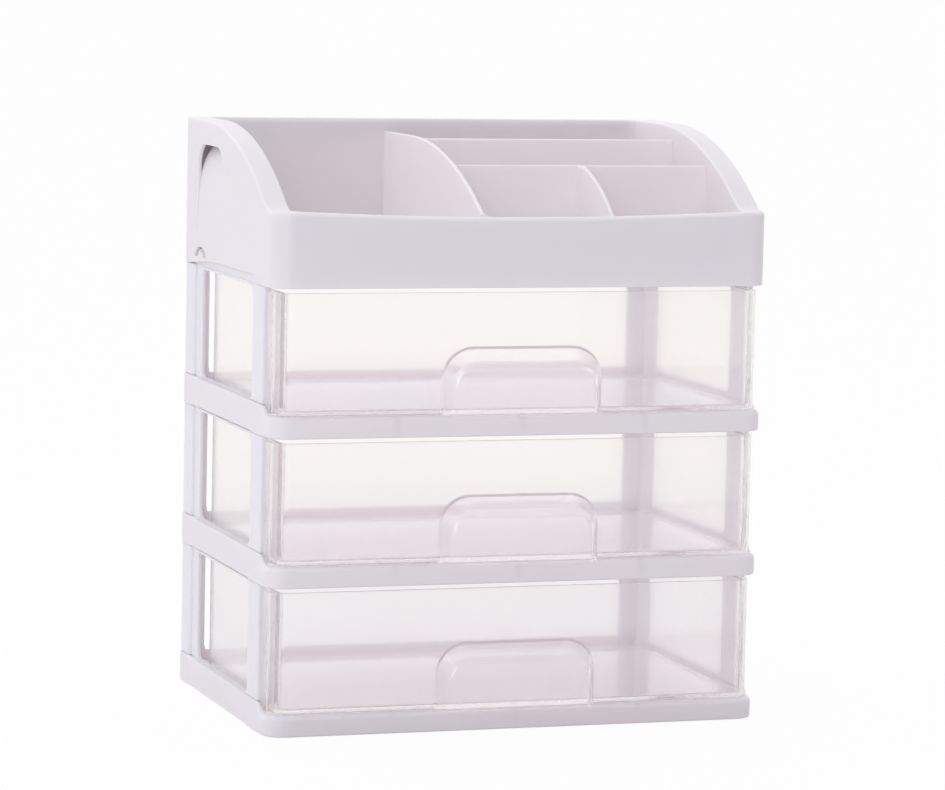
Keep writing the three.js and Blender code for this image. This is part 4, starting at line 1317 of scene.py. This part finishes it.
def carve_grip(tray, piece, side):
    """The scooped hand grip: an arched hole with a flap behind it that leans in.

    The flap grows out of the skin at the hole's lower edge, slowly at first and then steeply:
    its depth is a tenth of its height's share plus nine tenths of that share to the power 4.5.
    Fingers reach over its upper edge. The gap at its upper edge and sides shows the dark
    hollow of the wall.
    """
    front, back = TRAY_HIGH.y - tray.grip_front, TRAY_HIGH.y - tray.grip_back
    low, high = TRAY_LOW.z + tray.grip_low, TRAY_LOW.z + tray.grip_high
    face = TRAY_HIGH.x
    radius = tray.grip_corner
    overrun = 1.0 * MM
    behind_skin = 0.2 * MM
    over = 0.4 * MM
    root = 3.0 * MM
    nudge = 0.1 * MM
    hole = side_arch(front, back, low, high, radius)
    carve(piece, side_solid("hole", (
        (hole, side * (face + overrun)), (hole, side * (face - tray.skin - behind_skin)),
    )), "DIFFERENCE")
    near, far = [], []
    for share in np.sqrt(np.linspace(0.0, 1.0, 30)):
        height = low + (high - low) * share
        cut = np.clip((height - high + radius) / radius, 0, 1)
        narrow = radius * (1 - math.sqrt(1 - cut ** 2))
        depth = tray.grip_depth * (0.1 * share + 0.9 * share ** 4.5)
        for plan, x in ((near, face - depth), (far, face - depth - tray.skin)):
            plan.append(((front + narrow - over, x, height), (back - narrow + over, x, height)))
    rows = [np.array((near[i][0], near[i][1], far[i][1], far[i][0])) for i in range(len(near))]
    foot = rows[0] - (0, 0, root)
    foot[:2, 1] -= nudge
    shell = Shell()
    rings = shell.rings([row[:, (1, 0, 2)] * (side, 1, 1) for row in (foot, *rows)])
    shell.cap(rings[0])
    shell.cap(rings[-1])
    carve(piece, new_piece("flap", shell), "UNION")


def carve_latch(stack, tray, piece, side):
    """The arched latch slot with its standing tongue, both half ellipses in side view."""
    base = TRAY_LOW.z
    middle = TRAY_HIGH.y - stack.catch_place
    overrun = 1.0 * MM
    inner, outer = side * (TRAY_HIGH.x - tray.skin - overrun), side * (TRAY_HIGH.x + overrun)
    half_round = arc(0, 0, 1, 0, 180, 20)
    slot = half_round * (tray.latch_width / 2, tray.latch_rise) + (middle, base + tray.latch_low)
    tongue = half_round * (tray.tongue_width / 2, tray.tongue_rise) + (middle, base + tray.tongue_low)
    cutter = side_solid("slot", ((slot, inner), (slot, outer)))
    keep = side_solid("tongue", ((tongue, inner - side * overrun), (tongue, outer + side * overrun)))
    carve(cutter, keep, "DIFFERENCE")
    carve(piece, cutter, "DIFFERENCE")


class ORGANIZER_OT_tray(bpy.types.Operator):
    """Add the open tray with its partitions, hand grips and latches"""

    bl_idname = "organizer.tray"
    bl_label = "Tray"

    def execute(self, context):
        stack = context.scene.organizer_stack
        tray = context.scene.organizer_tray
        piece = new_piece("tray_moulding", tray_shell(stack, tray))
        for side in (-1, 1):
            carve_grip(tray, piece, side)
            carve_latch(stack, tray, piece, side)
        for wall in partitions(tray):
            carve(piece, wall, "UNION")
        soften(piece)
        dress(piece, white_plastic(), "frame", "white_plastic", "top_tray")
        return {"FINISHED"}


# Foot pads


class ORGANIZER_OT_pads(bpy.types.Operator):
    """Add the four foam foot pads"""

    bl_idname = "organizer.pads"
    bl_label = "Foot pads"

    def execute(self, context):
        edge = 0.4 * MM
        finishes = context.scene.organizer_finishes
        foam = foam_pad("Cut foam", finishes.pad, finishes.pad_cell)
        for name, (x, y) in pad_places().items():
            low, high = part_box(f"foot_pad_{name}")
            radius = (high.x - low.x) / 2
            levels = [(down, low.z + inward) for inward, down in rounding(edge, 3)]
            levels += [(inward, high.z - down) for inward, down in rounding(edge, 3)]
            shell = Shell()
            rings = shell.rings(disc_rings(x, y, radius, levels))
            shell.cap(rings[0])
            shell.cap(rings[-1])
            piece = new_piece(f"pad_disc_{name}", shell)
            soften(piece)
            dress(piece, foam, "frame", "foot_pad", f"foot_pad_{name}")
        return {"FINISHED"}


# Stage


def facing(spot, aim):
    """The turn of a lamp or an upright camera that stands on one spot and faces another."""
    return (Vector(aim) - Vector(spot)).to_track_quat("-Z", "Y")


def add_lamp(name, spot, studio, power, colour):
    """A square soft lamp that faces the object."""
    lamp = bpy.data.lights.new(name, "AREA")
    lamp.size = studio.lamp_size
    lamp.energy = power
    lamp.color = linear(colour)[:3]
    thing = bpy.data.objects.new(name, lamp)
    thing.location = spot
    thing.rotation_euler = facing(spot, studio.lamp_aim).to_euler()
    bpy.context.scene.collection.objects.link(thing)


class ORGANIZER_OT_stage(bpy.types.Operator):
    """Add the pale floor, the soft lamps and the camera"""

    bl_idname = "organizer.stage"
    bl_label = "Stage"

    def execute(self, context):
        scene = context.scene
        studio = scene.organizer_studio
        mesh = bpy.data.meshes.new("studio_floor")
        reach = studio.floor_reach
        corners = [(-reach, -reach, 0), (reach, -reach, 0), (reach, reach, 0), (-reach, reach, 0)]
        mesh.from_pydata(corners, [], [(0, 1, 2, 3)])
        floor = bpy.data.objects.new("studio_floor", mesh)
        mesh.materials.append(studio_paper("Matt studio paper", scene.organizer_finishes.floor))
        scene.collection.objects.link(floor)

        camera = bpy.data.cameras.new("camera")
        camera.lens = studio.focal / PICTURE_WIDTH * camera.sensor_width
        camera.clip_end = 5 * reach
        seat = bpy.data.objects.new("camera", camera)
        upright = facing(studio.eye, studio.aim).to_matrix()
        turned = upright @ Matrix.Rotation(studio.roll, 3, "Z")
        seat.matrix_world = Matrix.Translation(studio.eye) @ turned.to_4x4()
        scene.collection.objects.link(seat)
        scene.camera = seat

        add_lamp("key lamp", studio.key_place, studio, studio.key, "#FBFAFF")
        add_lamp("top lamp", studio.top_place, studio, studio.top, "#FFFFFF")
        add_lamp("front lamp", studio.front_place, studio, studio.front, "#FBFAFF")

        world = bpy.data.worlds.new("pale studio")
        world.use_nodes = True
        tree = world.node_tree
        tree.nodes.clear()
        rays = add_node(tree, "ShaderNodeLightPath")
        seen = add_node(tree, "ShaderNodeMath", {
            0: rays.outputs["Is Camera Ray"], 1: rays.outputs["Is Glossy Ray"],
        }, operation="MAXIMUM")
        seen_too = add_node(tree, "ShaderNodeMath", {
            0: seen.outputs["Value"], 1: rays.outputs["Is Transmission Ray"],
        }, operation="MAXIMUM")
        place = add_node(tree, "ShaderNodeTexCoord")
        lean = add_node(tree, "ShaderNodeVectorMath", {
            0: place.outputs["Generated"], 1: studio.lean,
        }, operation="DOT_PRODUCT")
        strength = add_node(tree, "ShaderNodeMath", {
            0: lean.outputs["Value"], 1: studio.ambient,
        }, operation="ADD")
        around = add_node(tree, "ShaderNodeBackground", {
            "Color": linear("#F7F6FF"), "Strength": strength.outputs["Value"],
        })
        backdrop = add_node(tree, "ShaderNodeBackground", {"Color": (1, 1, 1, 1), "Strength": 1.0})
        mixed = add_node(tree, "ShaderNodeMixShader", {
            0: seen_too.outputs["Value"], 1: around.outputs["Background"], 2: backdrop.outputs["Background"],
        })
        add_node(tree, "ShaderNodeOutputWorld", {"Surface": mixed.outputs["Shader"]})
        scene.world = world
        scene.view_settings.view_transform = "Standard"
        scene.cycles.max_bounces = 32
        scene.cycles.diffuse_bounces = 12
        scene.cycles.transmission_bounces = 32
        scene.cycles.glossy_bounces = 32
        scene.cycles.transparent_max_bounces = 32
        return {"FINISHED"}


STEPS = (
    ORGANIZER_OT_drawers, ORGANIZER_OT_tray, ORGANIZER_OT_shelves, ORGANIZER_OT_side_frames,
    ORGANIZER_OT_pads, ORGANIZER_OT_stage,
)


class ORGANIZER_PT_panel(bpy.types.Panel):
    """Lists the organizer's pieces and sizes"""

    bl_idname = "ORGANIZER_PT_panel"
    bl_label = "Makeup Organizer"
    bl_space_type = "VIEW_3D"
    bl_region_type = "UI"
    bl_category = "Organizer"

    def draw(self, context):
        for step in STEPS:
            self.layout.operator(step.bl_idname)
        for name in GROUPS:
            group = getattr(context.scene, name)
            self.layout.label(text=name.replace("_", " "))
            for setting in group.bl_rna.properties:
                if setting.identifier not in ("rna_type", "name"):
                    self.layout.prop(group, setting.identifier)


GROUPS = {
    "organizer_stack": OrganizerStack,
    "organizer_drawers": OrganizerDrawers,
    "organizer_tray": OrganizerTray,
    "organizer_finishes": OrganizerFinishes,
    "organizer_studio": OrganizerStudio,
}


def register():
    for group in GROUPS.values():
        bpy.utils.register_class(group)
    for step in (*STEPS, ORGANIZER_PT_panel):
        bpy.utils.register_class(step)
    for name, group in GROUPS.items():
        setattr(bpy.types.Scene, name, PointerProperty(type=group))


def unregister():
    for name in GROUPS:
        delattr(bpy.types.Scene, name)
    for step in (ORGANIZER_PT_panel, *reversed(STEPS)):
        bpy.utils.unregister_class(step)
    for group in reversed(GROUPS.values()):
        bpy.utils.unregister_class(group)


def main():
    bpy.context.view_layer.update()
    register()
    bpy.ops.organizer.drawers()
    bpy.ops.organizer.tray()
    bpy.ops.organizer.shelves()
    bpy.ops.organizer.side_frames()
    bpy.ops.organizer.pads()
    bpy.ops.organizer.stage()


if __name__ == "__main__":
    main()
